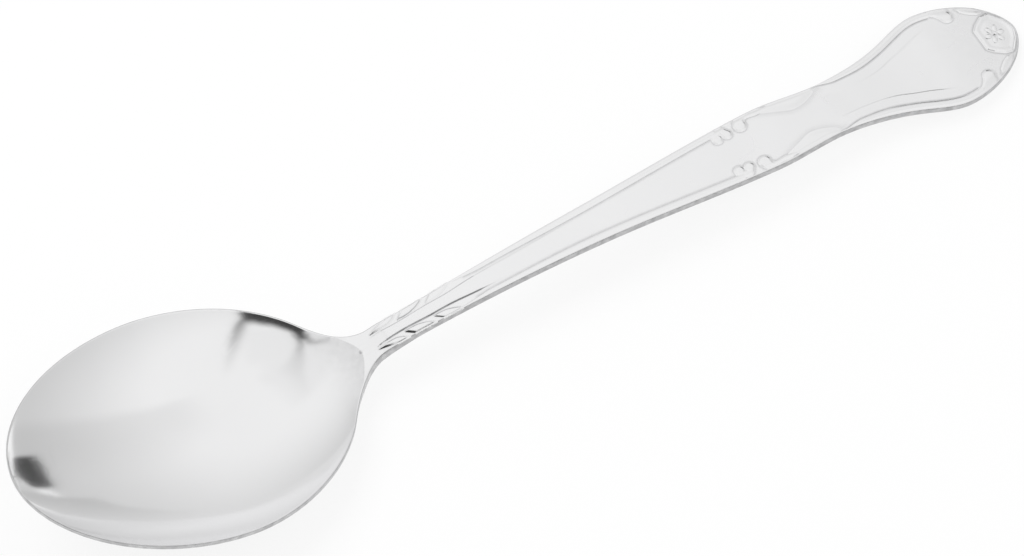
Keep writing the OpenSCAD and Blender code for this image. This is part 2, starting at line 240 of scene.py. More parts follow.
@dataclass(frozen=True)
class SpoonForm:
    """Outline, heights and thicknesses of the spoon.

    Names that end in _w, _l, _t and _z are widths, lengths, thicknesses and heights.
    """

    length: float
    bowl_w: float
    bowl_end: float
    neck_end: float
    stem_end: float
    end_w: float
    wide_at: float = 29.6
    heel_l: float = 26.8
    deep_at: float = 39.0
    bowl_depth: float = 9.0
    bowl_wall: float = 1.3
    tip_rise: float = 9.1
    heel_drop: float = 5.0
    shoulder_l: float = 2.7
    crease_l: float = 0.9
    narrow_l: float = 8.0
    neck_z: float = 5.1
    neck_t: float = 2.3
    neck_flare: float = 0.1
    stem_w: float = 4.9
    stem_mid_w: float = 7.2
    stem_t: float = 1.7
    stem_z: float = 7.1
    arch_z: float = 8.8
    back_crown: float = 0.6
    waist_from_tip: float = 47.7
    waist_w: float = 11.0
    waist_z: float = 7.0
    pinch_from_tip: float = 33.7
    pinch_w: float = 9.7
    pinch_z: float = 5.5
    flare_from_tip: float = 21.6
    flare_w: float = 14.3
    flare_z: float = 3.8
    rest_from_tip: float = 4.6
    end_from_tip: float = 14.1
    end_t: float = 1.25
    end_mid_t: float = 1.9
    end_fall: float = 0.8
    planed: float = 0.2
    bowl_pow: float = 1.92
    end_pow: float = 1.78
    floor_l: float = 2.7
    heel_close: Span = (56.5, 59.3)
    heel_close_pow: float = 1.5
    # Small spot at the dish's end where shade is painted
    heel_spot: tuple[Disc, Disc] = ((-0.2, 0.0, 0.05), (-0.15, 0.15, 0.05))
    tip_pow: float = 2.32
    dish_round: float = 0.75
    flare_lean: float = 0.8
    crease_soft: float = 0.07
    back_soft: float = 0.5
    panel_ease: float = 0.14
    # Stretch of the neck along which shade is painted at the panel's step
    panel_shade_along: Span = (63.5, 80.0)
    panel_half: Stations = (
        (58, 1.0), (61.5, 1.0), (66, 0.8), (71, 0.95), (75, 0.97), (80, 1.3), (90, 1.5), (100, 1.9),
        (130, 3.0), (140, 2.6), (148, 2.15), (153, 2.3), (156, 2.8), (158.5, 3.6), (161, 4.35),
        (164, 5.4), (166, 5.9), (170, 6.4),
    )
    panel_step: Stations = (
        (58, 0), (61, 0), (64, 0.28), (79, 0.28), (84, 0.12), (94, 0.07), (101, 0),
        (144, 0), (149, -0.13), (162, -0.13), (167, 0),
    )

    @classmethod
    def from_frame(cls) -> "SpoonForm":
        """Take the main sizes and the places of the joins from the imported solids.

        Returns:
            The form.
        """
        bowl_low, bowl_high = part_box("bowl")
        end_low, end_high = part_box("handle_end")

        def along(node: str) -> float:
            """Place along the spoon at which a node ends."""
            return (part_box(node)[1].x - bowl_low.x) / MM

        return cls(
            length=along("handle_end"),
            bowl_w=(bowl_high.y - bowl_low.y) / MM,
            bowl_end=along("bowl"),
            neck_end=along("neck"),
            stem_end=along("stem"),
            end_w=(end_high.y - end_low.y) / MM,
        )

    @property
    def rim_z(self) -> float:
        """Height of the rim at the bowl's widest place."""
        return self.bowl_depth + self.bowl_wall

    @property
    def heel_at(self) -> float:
        """Place where the bowl's oval would close."""
        return self.wide_at + self.heel_l

    @property
    def shoulder_at(self) -> float:
        """Place where the rim starts to fall towards the neck."""
        return self.heel_at - self.shoulder_l

    @property
    def crease_at(self) -> float:
        """Place on the axis where the bowl's floor ends."""
        return self.heel_at + self.crease_l

    @property
    def narrow_at(self) -> float:
        """Place where the stem is narrowest."""
        return self.neck_end + self.narrow_l

    @property
    def waist_at(self) -> float:
        """Place of the waist, by the scrolls."""
        return self.length - self.waist_from_tip

    @property
    def pinch_at(self) -> float:
        """Place of the pinch after the waist."""
        return self.length - self.pinch_from_tip

    @property
    def flare_at(self) -> float:
        """Place of the middle of the flare."""
        return self.length - self.flare_from_tip

    @property
    def rest_at(self) -> float:
        """Place of the flat that the end rests on."""
        return self.length - self.rest_from_tip

    @property
    def end_at(self) -> float:
        """Place where the handle's end is widest."""
        return self.length - self.end_from_tip

    def half_width(self, s: np.ndarray) -> np.ndarray:
        """Half the width of the spoon.

        Args:
            s: places along it.

        Returns:
            The half-widths there.
        """
        half = self.bowl_w / 2
        end_t = (self.bowl_end - self.wide_at) / self.heel_l
        end_slope = -half / self.heel_l * end_t ** (self.bowl_pow - 1)
        end_slope *= (1 - end_t**self.bowl_pow) ** (1 / self.bowl_pow - 1)
        neck_half = self.stem_w / 2 + self.neck_flare
        neck_slope = -self.neck_flare / self.narrow_l
        flare_slope = self.flare_lean * (self.end_w - self.pinch_w) / (self.end_at - self.pinch_at)
        stations = (
            (self.neck_end, neck_half),
            (self.narrow_at, self.stem_w / 2),
            ((self.narrow_at + self.waist_at) / 2, self.stem_mid_w / 2),
            (self.waist_at, self.waist_w / 2),
            (self.pinch_at, self.pinch_w / 2),
            (self.flare_at, self.flare_w / 2),
        )
        neck_start = (self.bowl_end, half * oval(end_t, self.bowl_pow), end_slope)
        return np.select(
            [s < self.wide_at, s < self.bowl_end, s < self.neck_end, s < self.flare_at, s < self.end_at],
            [
                half * oval(1 - s / self.wide_at, self.bowl_pow),
                half * oval((s - self.wide_at) / self.heel_l, self.bowl_pow),
                hermite(neck_start, (self.neck_end, neck_half, neck_slope), s),
                smooth_curve(stations, s, neck_slope, flare_slope),
                hermite((*stations[-1], flare_slope), (self.end_at, self.end_w / 2, 0.0), s),
            ],
            self.end_w / 2 * oval((s - self.end_at) / self.end_from_tip, self.end_pow),
        )

    def edge_z(self, s: np.ndarray) -> np.ndarray:
        """Height of the rim, and past the bowl of the face's edges.

        Args:
            s: places along the spoon.

        Returns:
            The heights there.
        """
        tip_chord = -self.tip_rise / self.wide_at
        rim_chord = -(self.tip_rise + self.heel_drop) / self.shoulder_at
        stations = (
            (0.0, self.rim_z + self.tip_rise),
            (self.wide_at, self.rim_z),
            (self.shoulder_at, self.rim_z - self.heel_drop),
            (self.crease_at, self.neck_z),
            (self.neck_end + self.narrow_l / 4, self.stem_z),
            ((self.crease_at + self.waist_at) / 2, self.arch_z),
            (self.waist_at, self.waist_z),
            (self.pinch_at, self.pinch_z),
            (self.flare_at, self.flare_z),
            (self.rest_at, self.end_mid_t),
            (self.length, self.end_mid_t - self.end_fall),
        )
        return smooth_curve(stations, s, (3 * tip_chord - rim_chord) / 2)

    def bowl_floor_z(self, s: np.ndarray) -> np.ndarray:
        """Height of the bowl's floor on the axis, carried on past the crease.

        Args:
            s: places along the spoon.

        Returns:
            The heights there.
        """
        end = self.heel_at + self.floor_l
        end_z = float(self.edge_z(np.array([end]))[0])
        heel_rise = (end_z - self.bowl_wall) / (end - self.deep_at) ** 2
        even = heel_rise * (s - self.deep_at) ** 2
        x = np.clip(1 - s / self.deep_at, 0, 1)
        steeper = self.bowl_depth + self.tip_rise - heel_rise * self.deep_at**2
        return self.bowl_wall + even + steeper * x**self.tip_pow

    def dish_half(self, s: np.ndarray) -> np.ndarray:
        """Half-width of the bowl's dish, which closes in a round end on the neck.

        Args:
            s: places along the spoon.

        Returns:
            The half-widths there.
        """
        start, end = self.heel_close
        closing = np.clip((s - start) / (end - start), 0, 1)
        return self.half_width(s) * np.sqrt(1 - closing**self.heel_close_pow)

    def dish_z(self, s: np.ndarray, y: np.ndarray, soft: float) -> np.ndarray:
        """Height of the plain face: the bowl's dish, and past the crease the handle's flat.

        Args:
            s: places along the spoon.
            y: places across it.
            soft: how much the crease at the end of the bowl's floor is rounded.

        Returns:
            The heights.
        """
        v = np.clip(np.abs(y) / np.maximum(self.dish_half(s), LEAST_HALF), 0, 1)
        depth = soft_positive(self.edge_z(s) - self.bowl_floor_z(s), soft)
        return self.edge_z(s) - depth * (1 - self.dish_round * v**2 - (1 - self.dish_round) * v**4)

    def panel_line(self, s: np.ndarray) -> np.ndarray:
        """Half-width of the raised panel along the middle of the handle."""
        return smooth_curve(self.panel_half, s)

    def panel_height(self, s: np.ndarray) -> np.ndarray:
        """Height of the panel's soft step, up along the neck and down on the handle's end."""
        return smooth_curve(self.panel_step, s)

    def heel_zone(self, s: np.ndarray, y: np.ndarray) -> np.ndarray:
        """Distance from the end of the dish, far wherever the face lies outside the dish."""
        return np.where(np.abs(y) < self.dish_half(s), self.heel_close[1] - s, FAR)

    def panel_wall(self, s: np.ndarray, y: np.ndarray) -> np.ndarray:
        """Distance from the panel's step along the neck, where shade is painted."""
        start, end = self.panel_shade_along
        return np.max([np.abs(np.abs(y) - self.panel_line(s)), start - s, s - end], axis=0)

    def heel_shade_mark(self, s: np.ndarray, y: np.ndarray) -> np.ndarray:
        """Distance from the small spot of painted shade where the bowl's dish runs out into the neck."""
        return bar(s - self.heel_close[1], y, *self.heel_spot)

    def face_z(self, s: np.ndarray, y: np.ndarray) -> np.ndarray:
        """Height of the face, with the panel's soft step.

        Args:
            s: places along the spoon.
            y: places across it.

        Returns:
            The heights there.
        """
        inside = self.panel_line(s) - np.abs(y)
        step = self.panel_height(s) * smooth_step(-self.panel_ease, self.panel_ease, inside)
        return self.dish_z(s, y, self.crease_soft) + step

    def edge_t(self, s: np.ndarray) -> np.ndarray:
        """Thickness at the edges.

        Args:
            s: places along the spoon.

        Returns:
            The thicknesses there.
        """
        stations = (
            (self.shoulder_at, self.bowl_wall),
            (self.crease_at, self.neck_t),
            (self.narrow_at, self.stem_t),
            (self.pinch_at, (self.stem_t + self.end_t) / 2),
            (self.rest_at, self.end_t),
        )
        return smooth_curve(stations, s)

    def back_z(self, s: np.ndarray, y: np.ndarray) -> np.ndarray:
        """Height of the back, planed at the table where the handle's end rests.

        Args:
            s: places along the spoon.
            y: places across it.

        Returns:
            The heights there.
        """
        stations = (
            (self.shoulder_at, 0),
            (self.crease_at, self.back_crown),
            (self.pinch_at, self.back_crown),
            (self.rest_at, self.end_mid_t - self.end_t + self.planed),
        )
        v = np.clip(np.abs(y) / np.maximum(self.half_width(s), LEAST_HALF), 0, 1)
        back = self.dish_z(s, y, self.back_soft) - self.edge_t(s) - smooth_curve(stations, s) * (1 - v * v)
        return np.where(s > self.stem_end, np.maximum(back, 0), back)


# Meshes and nodes


@dataclass
class Shell:
    """Points and faces of a mesh under construction, in millimetres of the spoon's frame."""

    points: np.ndarray
    faces: list[tuple[int, ...]]

    @classmethod
    def joined(cls, shells: Sequence["Shell"]) -> "Shell":
        """Put several shells into one, still apart.

        Args:
            shells: the shells.

        Returns:
            One shell with all their points and faces.
        """
        starts = np.cumsum([0, *(len(shell.points) for shell in shells)])
        faces = [
            tuple(i + start for i in face)
            for shell, start in zip(shells, starts)
            for face in shell.faces
        ]
        return cls(np.concatenate([shell.points for shell in shells]), faces)

    def mirrored(self) -> "Shell":
        """The same shell on the other side of the axis, with its faces still outwards."""
        return Shell(self.points * (1, -1, 1), [face[::-1] for face in self.faces])


def make_piece(name: str, mesh: bpy.types.Mesh, finish: "SteelFinish", *nodes: str) -> bpy.types.Object:
    """Put a finished mesh into the scene as a piece that stands for CAD nodes.

    Args:
        name: name of the piece.
        mesh: its mesh, in metres in the frame.
        finish: its finish.
        nodes: CAD nodes that it stands for.

    Returns:
        The piece.
    """
    piece = bpy.data.objects.new(name, mesh)
    bpy.context.scene.collection.objects.link(piece)
    mesh.materials.clear()
    mesh.materials.append(finish.material())
    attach(piece, BODY)
    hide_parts(*nodes)
    log.info("%s: %d faces for %s", name, len(mesh.polygons), ", ".join(nodes))
    return piece


def shell_mesh(name: str, shell: Shell, form: SpoonForm) -> bpy.types.Mesh:
    """Turn a shell into a smooth-shaded mesh in metres, with the spoon's middle at the origin.

    Args:
        name: name of the mesh.
        shell: the shell.
        form: the spoon that it belongs to.

    Returns:
        The mesh.
    """
    mesh = bpy.data.meshes.new(name)
    points = (shell.points - (form.length / 2, 0, 0)) * MM
    mesh.from_pydata(points.tolist(), [], shell.faces)
    mesh.polygons.foreach_set("use_smooth", [True] * len(mesh.polygons))
    mesh.update()
    return mesh


def set_mask(mesh: bpy.types.Mesh, name: str, values: np.ndarray) -> None:
    """Store a value from 0 to 1 at each point of a mesh, for its material."""
    attribute = mesh.attributes.new(name, "FLOAT", "POINT")
    attribute.data.foreach_set("value", np.asarray(values, np.float32))


class NodeGraph:
    """Short way to add and link the nodes of one tree."""

    def __init__(self, tree: bpy.types.NodeTree) -> None:
        """Work on a tree."""
        self.tree = tree

    def add(
        self, kind: str, inputs: dict[str | int, object] | None = None, **settings: object
    ) -> bpy.types.Node:
        """Add a node.

        Args:
            kind: Blender's name of the node type.
            inputs: values or sockets for its inputs, by name or number.
            settings: properties of the node.

        Returns:
            The node.
        """
        node = self.tree.nodes.new(kind)
        for key, value in settings.items():
            setattr(node, key, value)
        for key, value in (inputs or {}).items():
            if isinstance(value, bpy.types.NodeSocket):
                self.tree.links.new(value, node.inputs[key])
            else:
                node.inputs[key].default_value = value
        return node

    def math(self, operation: str, a: object, b: object = 0.0) -> bpy.types.NodeSocket:
        """Add a sum of one or two values or sockets, and return its result."""
        return self.add("ShaderNodeMath", {0: a, 1: b}, operation=operation).outputs[0]

    def remap(self, value: object, before: Sequence[object], after: Span) -> bpy.types.NodeSocket:
        """Add a change from one span of values to another, held at its ends, and return its result."""
        ends = {1: before[0], 2: before[1], 3: after[0], 4: after[1]}
        return self.add("ShaderNodeMapRange", {0: value, **ends}).outputs[0]

    def noise(self, place: bpy.types.NodeSocket, scale: object, detail: float) -> bpy.types.Node:
        """Add noise over places, and return its node."""
        return self.add("ShaderNodeTexNoise", {"Vector": place, "Scale": scale, "Detail": detail})


def empty_graph(tree: bpy.types.NodeTree) -> NodeGraph:
    """Clear a tree of the nodes that it starts with, and work on it."""
    tree.nodes.clear()
    return NodeGraph(tree)


def new_group(
    kind: str, name: str, inputs: Sequence[tuple[str, str, object]], outputs: Sequence[tuple[str, str]]
) -> tuple[NodeGraph, bpy.types.Node, bpy.types.Node]:
    """Start a node group with named sockets.

    Args:
        kind: type of the tree.
        name: name of the group.
        inputs: name, socket type and default of each input.
        outputs: name and socket type of each output.

    Returns:
        The graph, its input node and its output node.
    """
    tree = bpy.data.node_groups.new(name, kind)
    for label, socket, default in inputs:
        made = tree.interface.new_socket(label, in_out="INPUT", socket_type=socket)
        if default is not None:
            made.default_value = default
    for label, socket in outputs:
        tree.interface.new_socket(label, in_out="OUTPUT", socket_type=socket)
    graph = NodeGraph(tree)
    return graph, graph.add("NodeGroupInput"), graph.add("NodeGroupOutput")


def end_shape(
    graph: NodeGraph, shape: bpy.types.NodeSocket, finish: bpy.types.NodeSocket, result: bpy.types.Node
) -> None:
    """End a geometry tree: shade its shape smoothly, make instances real and set the material.

    Args:
        graph: nodes of the tree.
        shape: the shape.
        finish: the material.
        result: output node of the tree.
    """
    smooth = graph.add("GeometryNodeSetShadeSmooth", {"Geometry": shape})
    real = graph.add("GeometryNodeRealizeInstances", {"Geometry": smooth.outputs[0]})
    dressed = graph.add("GeometryNodeSetMaterial", {"Geometry": real.outputs[0], "Material": finish})
    graph.tree.links.new(dressed.outputs[0], result.inputs[0])


def baked(
    name: str, base: bpy.types.Mesh, tree: bpy.types.NodeTree, values: dict[str, object]
) -> bpy.types.Mesh:
    """Run a geometry tree once and keep its result as a plain mesh.

    Args:
        name: name of the mesh.
        base: mesh that the tree starts from.
        tree: the geometry tree.
        values: values of its named inputs.

    Returns:
        The mesh.
    """
    holder = bpy.data.objects.new(name + "_maker", base)
    modifier = holder.modifiers.new("shape", "NODES")
    modifier.node_group = tree
    sockets = {item.name: item.identifier for item in tree.interface.items_tree if item.in_out == "INPUT"}
    for label, value in values.items():
        modifier[sockets[label]] = value
    bpy.context.scene.collection.objects.link(holder)
    depsgraph = bpy.context.evaluated_depsgraph_get()
    mesh = bpy.data.meshes.new_from_object(holder.evaluated_get(depsgraph))
    mesh.name = name
    holder.modifiers.remove(modifier)
    bpy.data.objects.remove(holder)
    return mesh


# Finishes


@cache
def polish_group() -> bpy.types.NodeTree:
    """Node group of the buffing marks that run along the spoon, and of the sheet's faint unevenness.

    Returns:
        The group, made once.
    """
    graph, given, result = new_group(
        "ShaderNodeTree",
        "polish_marks",
        [("Marks Across", "NodeSocketFloat", 4000.0), ("Marks Along", "NodeSocketFloat", 60.0)],
        [("Marks", "NodeSocketFloat"), ("Unevenness", "NodeSocketFloat"), ("Clouds", "NodeSocketFloat")],
    )
    place = graph.add("ShaderNodeTexCoord").outputs["Object"]
    across, along = given.outputs["Marks Across"], given.outputs["Marks Along"]
    stretch = graph.add("ShaderNodeCombineXYZ", {"X": along, "Y": across, "Z": across}).outputs[0]
    run = graph.add("ShaderNodeVectorMath", {0: place, 1: stretch}, operation="MULTIPLY").outputs[0]
    marks = graph.noise(run, scale=1.0, detail=3.0)
    uneven = graph.noise(place, scale=140.0, detail=1.0)
    clouds = graph.noise(place, scale=45.0, detail=4.0)
    for node, label in ((marks, "Marks"), (uneven, "Unevenness"), (clouds, "Clouds")):
        graph.tree.links.new(node.outputs[0], result.inputs[label])
    return graph.tree


@cache
def scratch_group() -> bpy.types.NodeTree:
    """Node group of the few hairline scratches that use leaves.

    Returns:
        The group, made once.
    """
    graph, given, result = new_group(
        "ShaderNodeTree",
        "hairline_scratches",
        [("Spread", "NodeSocketFloat", 260.0), ("Fineness", "NodeSocketFloat", 0.03)],
        [("Scratches", "NodeSocketFloat")],
    )
    place = graph.add("ShaderNodeTexCoord").outputs["Object"]
    sway = (0.004, 0.004, 0.004)
    turn = graph.noise(place, scale=90.0, detail=2.0).outputs["Color"]
    shift = graph.add("ShaderNodeVectorMath", {0: turn, 1: sway}, operation="MULTIPLY").outputs[0]
    moved = graph.add("ShaderNodeVectorMath", {0: place, 1: shift}, operation="ADD").outputs[0]
    cells = graph.add(
        "ShaderNodeTexVoronoi",
        {"Vector": moved, "Scale": given.outputs["Spread"]},
        feature="DISTANCE_TO_EDGE",
    ).outputs[0]
    thin = graph.remap(cells, (0.0, given.outputs["Fineness"]), (1.0, 0.0))
    patches = graph.noise(place, scale=210.0, detail=2.0).outputs[0]
    kept = graph.remap(patches, (0.52, 0.62), (0.0, 1.0))
    graph.tree.links.new(graph.math("MULTIPLY", thin, kept), result.inputs["Scratches"])
    return graph.tree


@cache
def painted_shade_group() -> bpy.types.NodeTree:
    """Node group of the masks that the pieces carry: painted shade along recesses and outlines, and the
    edge walls, broken up a little.

    Returns:
        The group, made once.
    """
    graph, given, result = new_group(
        "ShaderNodeTree",
        "painted_shade_and_edge",
        [("Breakup", "NodeSocketFloat", 900.0)],
        [("Painted_shade", "NodeSocketFloat"), ("Edge", "NodeSocketFloat")],
    )
    place = graph.add("ShaderNodeTexCoord").outputs["Object"]
    grain = graph.noise(place, scale=given.outputs["Breakup"], detail=3.0)
    patchy = graph.remap(grain.outputs[0], (0.3, 0.7), (0.65, 1.0))
    # Breaks up the masks of the painted shade and of the edge walls
    for label in ("painted_shade", "edge"):
        mask = graph.add("ShaderNodeAttribute", attribute_name=label).outputs["Fac"]
        graph.tree.links.new(graph.math("MULTIPLY", mask, patchy), result.inputs[label.capitalize()])
    return graph.tree


@dataclass(frozen=True)
class SteelFinish:
    """A polished stainless surface: its tones with the shade painted into it, and how evenly it is buffed.
    """

    name: str
    slot: Slot
    clean: Colour = (0.95, 0.95, 0.955)
    # Colour of the shade painted along recesses, ornament outlines, the panel's step and the bowl's heel
    shade_paint: Colour = (0.3, 0.3, 0.31)
    # Grey of the edge walls: painted shade that stands in for their darker reflection, over their rougher
    # gloss
    edge_wall_shade: Colour = (0.42, 0.42, 0.425)
    roughness: float = 0.1
    marks_across: float = 4000.0
    marks_along: float = 60.0
    mark_depth: float = 0.02
    unevenness: float = 0.03
    scratch_spread: float = 260.0
    cloud_tone: float = 0.95
    mark_dulling: float = 0.05
    cloud_dulling: float = 0.05
    scratch_dulling: float = 0.1
    recess_dulling: float = 0.2
    edge_dulling: float = 0.22
    sheet_relief: float = 0.001
    mark_relief: float = 0.00005

    def material(self) -> bpy.types.Material:
        """The finish as a node material, made once.

        Returns:
            The material.
        """
        if self.name in bpy.data.materials:
            return bpy.data.materials[self.name]
        material = bpy.data.materials.new(self.name)
        material.use_nodes = True
        graph = NodeGraph(material.node_tree)
        steel = next(node for node in material.node_tree.nodes if node.type == "BSDF_PRINCIPLED")
        steel.inputs["Metallic"].default_value = 1.0
        polish = graph.add("ShaderNodeGroup", node_tree=polish_group())
        polish.inputs["Marks Across"].default_value = self.marks_across
        polish.inputs["Marks Along"].default_value = self.marks_along
        wear = graph.add("ShaderNodeGroup", node_tree=scratch_group())
        wear.inputs["Spread"].default_value = self.scratch_spread
        masks = graph.add("ShaderNodeGroup", node_tree=painted_shade_group())
        self._colour(graph, steel, polish, masks)
        self._gloss(graph, steel, polish, wear, masks)
        self._grain(graph, steel, polish, wear)
        return material

    def _colour(
        self, graph: NodeGraph, steel: bpy.types.Node, polish: bpy.types.Node, masks: bpy.types.Node
    ) -> None:
        """Tint the steel: clouds a shade darker, painted shade along recesses and outlines, and painted
        shade on the grey edge walls.

        Args:
            graph: nodes of the material.
            steel: its shader.
            polish: its buffing marks.
            masks: its painted shade and edge wall masks.
        """
        shade = tuple(self.cloud_tone * tone for tone in self.clean)
        below: object = (*self.clean, 1)
        # Mixes over the clean tone: random clouds, then painted shade on the edge walls and along recesses
        # and outlines
        for tone, share in (
            (shade, polish.outputs["Clouds"]),
            (self.edge_wall_shade, masks.outputs["Edge"]),
            (self.shade_paint, masks.outputs["Painted_shade"]),
        ):
            mix = graph.add("ShaderNodeMix", {0: share, 6: below, 7: (*tone, 1)}, data_type="RGBA")
            below = mix.outputs[2]
        graph.tree.links.new(below, steel.inputs["Base Color"])

    def _gloss(
        self,
        graph: NodeGraph,
        steel: bpy.types.Node,
        polish: bpy.types.Node,
        wear: bpy.types.Node,
        masks: bpy.types.Node,
    ) -> None:
        """Make the gloss uneven: duller along marks, scratches, recesses and cut edges.

        Args:
            graph: nodes of the material.
            steel: its shader.
            polish: its buffing marks.
            wear: its scratches.
            masks: its painted shade and edge wall masks.
        """
        parts = (
            (polish.outputs["Marks"], self.mark_dulling),
            (polish.outputs["Clouds"], self.cloud_dulling),
            (wear.outputs["Scratches"], self.scratch_dulling),
            (masks.outputs["Painted_shade"], self.recess_dulling),
            (masks.outputs["Edge"], self.edge_dulling),
        )
        total: object = self.roughness - (self.mark_dulling + self.cloud_dulling) / 2
        for share, amount in parts:
            total = graph.math("ADD", total, graph.math("MULTIPLY", share, amount))
        graph.tree.links.new(total, steel.inputs["Roughness"])

    def _grain(
        self, graph: NodeGraph, steel: bpy.types.Node, polish: bpy.types.Node, wear: bpy.types.Node
    ) -> None:
        """Give the surface its grain: the sheet's unevenness, buffing marks and scratches.

        Args:
            graph: nodes of the material.
            steel: its shader.
            polish: its buffing marks.
            wear: its scratches.
        """
        soft = graph.add(
            "ShaderNodeBump",
            {
                "Height": polish.outputs["Unevenness"],
                "Strength": self.unevenness,
                "Distance": self.sheet_relief,
            },
        )
        marks = graph.math("SUBTRACT", polish.outputs["Marks"], wear.outputs["Scratches"])
        fine = graph.add(
            "ShaderNodeBump",
            {
                "Height": marks,
                "Strength": self.mark_depth,
                "Distance": self.mark_relief,
                "Normal": soft.outputs[0],
            },
        )
        graph.tree.links.new(fine.outputs[0], steel.inputs["Normal"])


BOWL_STEEL = SteelFinish("bowl_steel", Slot.POLISHED, roughness=0.1, marks_along=300.0, marks_across=3000.0)
HANDLE_STEEL = SteelFinish("handle_steel", Slot.POLISHED, roughness=0.2, unevenness=0.05)
RELIEF_STEEL = SteelFinish("ornament_steel", Slot.RELIEF, roughness=0.18, mark_depth=0.01, unevenness=0.02)


# The stamped blank


@dataclass(frozen=True)
class ShadeLine:
    """Line along which shade is painted and gloss roughened: its distance, its darkness and how far that
    reaches.
    """

    distance: Field
    depth: float
    reach: float

    def mask(self, s: np.ndarray, y: np.ndarray) -> np.ndarray:
        """Strength of the painted shade at places on the face."""
        return self.depth * np.exp(-((self.distance(s, y) / self.reach) ** 2))


@dataclass
class Blank:
    """The stamped piece of steel that the bowl, neck, stem and handle end are zones of."""

    form: SpoonForm
    shade_lines: Sequence[ShadeLine] = ()
    top_round: float = 0.28
    back_round: float = 0.3
    across_steps: int = 150
    round_steps: int = 6
    wall_steps: int = 3
    tip_rows: int = 64
    heel_rows: int = 60
    row_pitch: float = 0.3
    neck_pitch: float = 0.15
    # Span over which the edge walls' painted shade fades out towards their rounded corners
    edge_shade_fade: Span = (0.6, 1.0)
    rows: np.ndarray = field(init=False)
    loops: np.ndarray = field(init=False)
    normals: np.ndarray = field(init=False)

    def __post_init__(self) -> None:
        """Work out the sections of the whole blank."""
        self.rows = self._row_places()
        self.loops = self._sections()
        self.normals = self._section_normals()

    @property
    def edge_count(self) -> int:
        """Points round one edge, without the points that it shares with the face and the back."""
        return 2 * self.round_steps + self.wall_steps - 1

    def _row_places(self) -> np.ndarray:
        """Places of the sections, closer together at the two tips, where the outline turns.

        Returns:
            The places along the spoon, in order.
        """
        form = self.form
        turn = np.linspace(0, math.pi / 2, self.tip_rows)
        stretches = [
            form.wide_at * (1 - np.cos(turn)),
            np.linspace(form.wide_at, form.bowl_end, self.heel_rows)[1:],
        ]
        for start, end, pitch in (
            (form.bowl_end, form.neck_end, self.neck_pitch),
            (form.neck_end, form.stem_end, self.row_pitch),
            (form.stem_end, form.end_at, self.row_pitch),
        ):
            count = math.ceil((end - start) / pitch)
            stretches.append(np.linspace(start, end, count + 1)[1:])
        stretches.append(form.end_at + form.end_from_tip * np.sin(turn)[1:])
        return np.concatenate(stretches)

    def _sections(self) -> np.ndarray:
        """Closed loops of points round the blank at each place.

        The face runs from right to left, then come the left edge, the back and the right edge.

        Returns:
            Points by section and by place round it.
        """
        form, s = self.form, self.rows
        w = form.half_width(s)
        run, rise = np.gradient(s), np.gradient(w)
        out_s, out_y = -rise / np.hypot(run, rise), run / np.hypot(run, rise)
        out_s[[0, -1]], out_y[[0, -1]] = (-1, 1), 0
        top_z = form.edge_z(s)
        low_z = top_z - form.edge_t(s)
        v = np.linspace(-1, 1, self.across_steps + 1)

        def inset(distance: float | np.ndarray) -> tuple[np.ndarray, np.ndarray]:
            """Places on the left edge, moved inwards at right angles to the outline."""
            return s - out_s * distance, np.maximum(w - out_y * distance, 0)

        def sheet(distance: float, height: Field, places: np.ndarray) -> np.ndarray:
            """Points of the face or the back, as far as the rounding of the edges.

            Args:
                distance: how far inside the outline it ends.
                height: its height, by place.
                places: places across it, from -1 to 1.

            Returns:
                Points by section and by place across it.
            """
            at, half = inset(distance)
            at = np.repeat(at[:, None], len(places), axis=1)
            y = half[:, None] * places
            return np.stack([at, y, height(at, y)], axis=-1)

        face = sheet(self.top_round, form.face_z, v)
        back = sheet(self.back_round, form.back_z, -v)
        low_z = np.maximum(low_z, back[:, 0, 2] - self.back_round / 2)
        edge = []
        for step in range(1, self.round_steps + 1):
            t = step / self.round_steps
            at, y = inset(self.top_round * (1 - t) ** 2)
            z = bend(t, face[:, -1, 2], top_z, top_z - self.top_round)
            edge.append(np.stack([at, y, z], axis=-1))
        for step in range(1, self.wall_steps):
            t = step / self.wall_steps
            z = (1 - t) * (top_z - self.top_round) + t * (low_z + self.back_round)
            edge.append(np.stack([s, w, z], axis=-1))
        for step in range(self.round_steps):
            t = step / self.round_steps
            at, y = inset(self.back_round * t * t)
            z = bend(t, low_z + self.back_round, low_z, back[:, 0, 2])
            edge.append(np.stack([at, y, z], axis=-1))
        left = np.stack(edge, axis=1)
        right = left[:, ::-1] * (1, -1, 1)
        return np.concatenate([face, left, back, right], axis=1)

    def _section_normals(self) -> np.ndarray:
        """Outward directions at the points of the sections.

        Returns:
            Unit vectors, by section and by place round it.
        """

        def slope(before: np.ndarray, here: np.ndarray, after: np.ndarray) -> np.ndarray:
            """Direction through three points that aren't evenly spaced.

            Args:
                before: points before.
                here: the points themselves.
                after: points after.

            Returns:
                The directions, not of unit length.
            """
            first = np.linalg.norm(here - before, axis=-1, keepdims=True) + LEAST_LENGTH
            second = np.linalg.norm(after - here, axis=-1, keepdims=True) + LEAST_LENGTH
            return (after - here) * first / second + (here - before) * second / first

        loops = self.loops
        longer = np.concatenate([2 * loops[:1] - loops[1:2], loops, 2 * loops[-1:] - loops[-2:-1]])
        along = slope(longer[:-2], loops, longer[2:])
        around = slope(np.roll(loops, 1, axis=1), loops, np.roll(loops, -1, axis=1))
        normals = np.cross(along, around)
        normals /= np.linalg.norm(normals, axis=-1, keepdims=True) + LEAST_LENGTH**2
        for tip, beside in ((0, 1), (-1, -2)):
            normals[tip] = self._tip_normals(normals[beside])
        return normals

    def _tip_normals(self, beside: np.ndarray) -> np.ndarray:
        """Outward directions at a tip, where each section shrinks to the middle of its edge.

        Args:
            beside: directions at the section next to the tip.

        Returns:
            Directions that agree wherever points of the tip coincide.
        """
        face, edge = self.across_steps + 1, self.edge_count
        tip = beside.copy()
        back = slice(face + edge, 2 * face + edge)
        tip[:face] = beside[:face].mean(axis=0)
        tip[back] = beside[back].mean(axis=0)
        tip[:, 1] = 0
        return tip / np.linalg.norm(tip, axis=-1, keepdims=True)

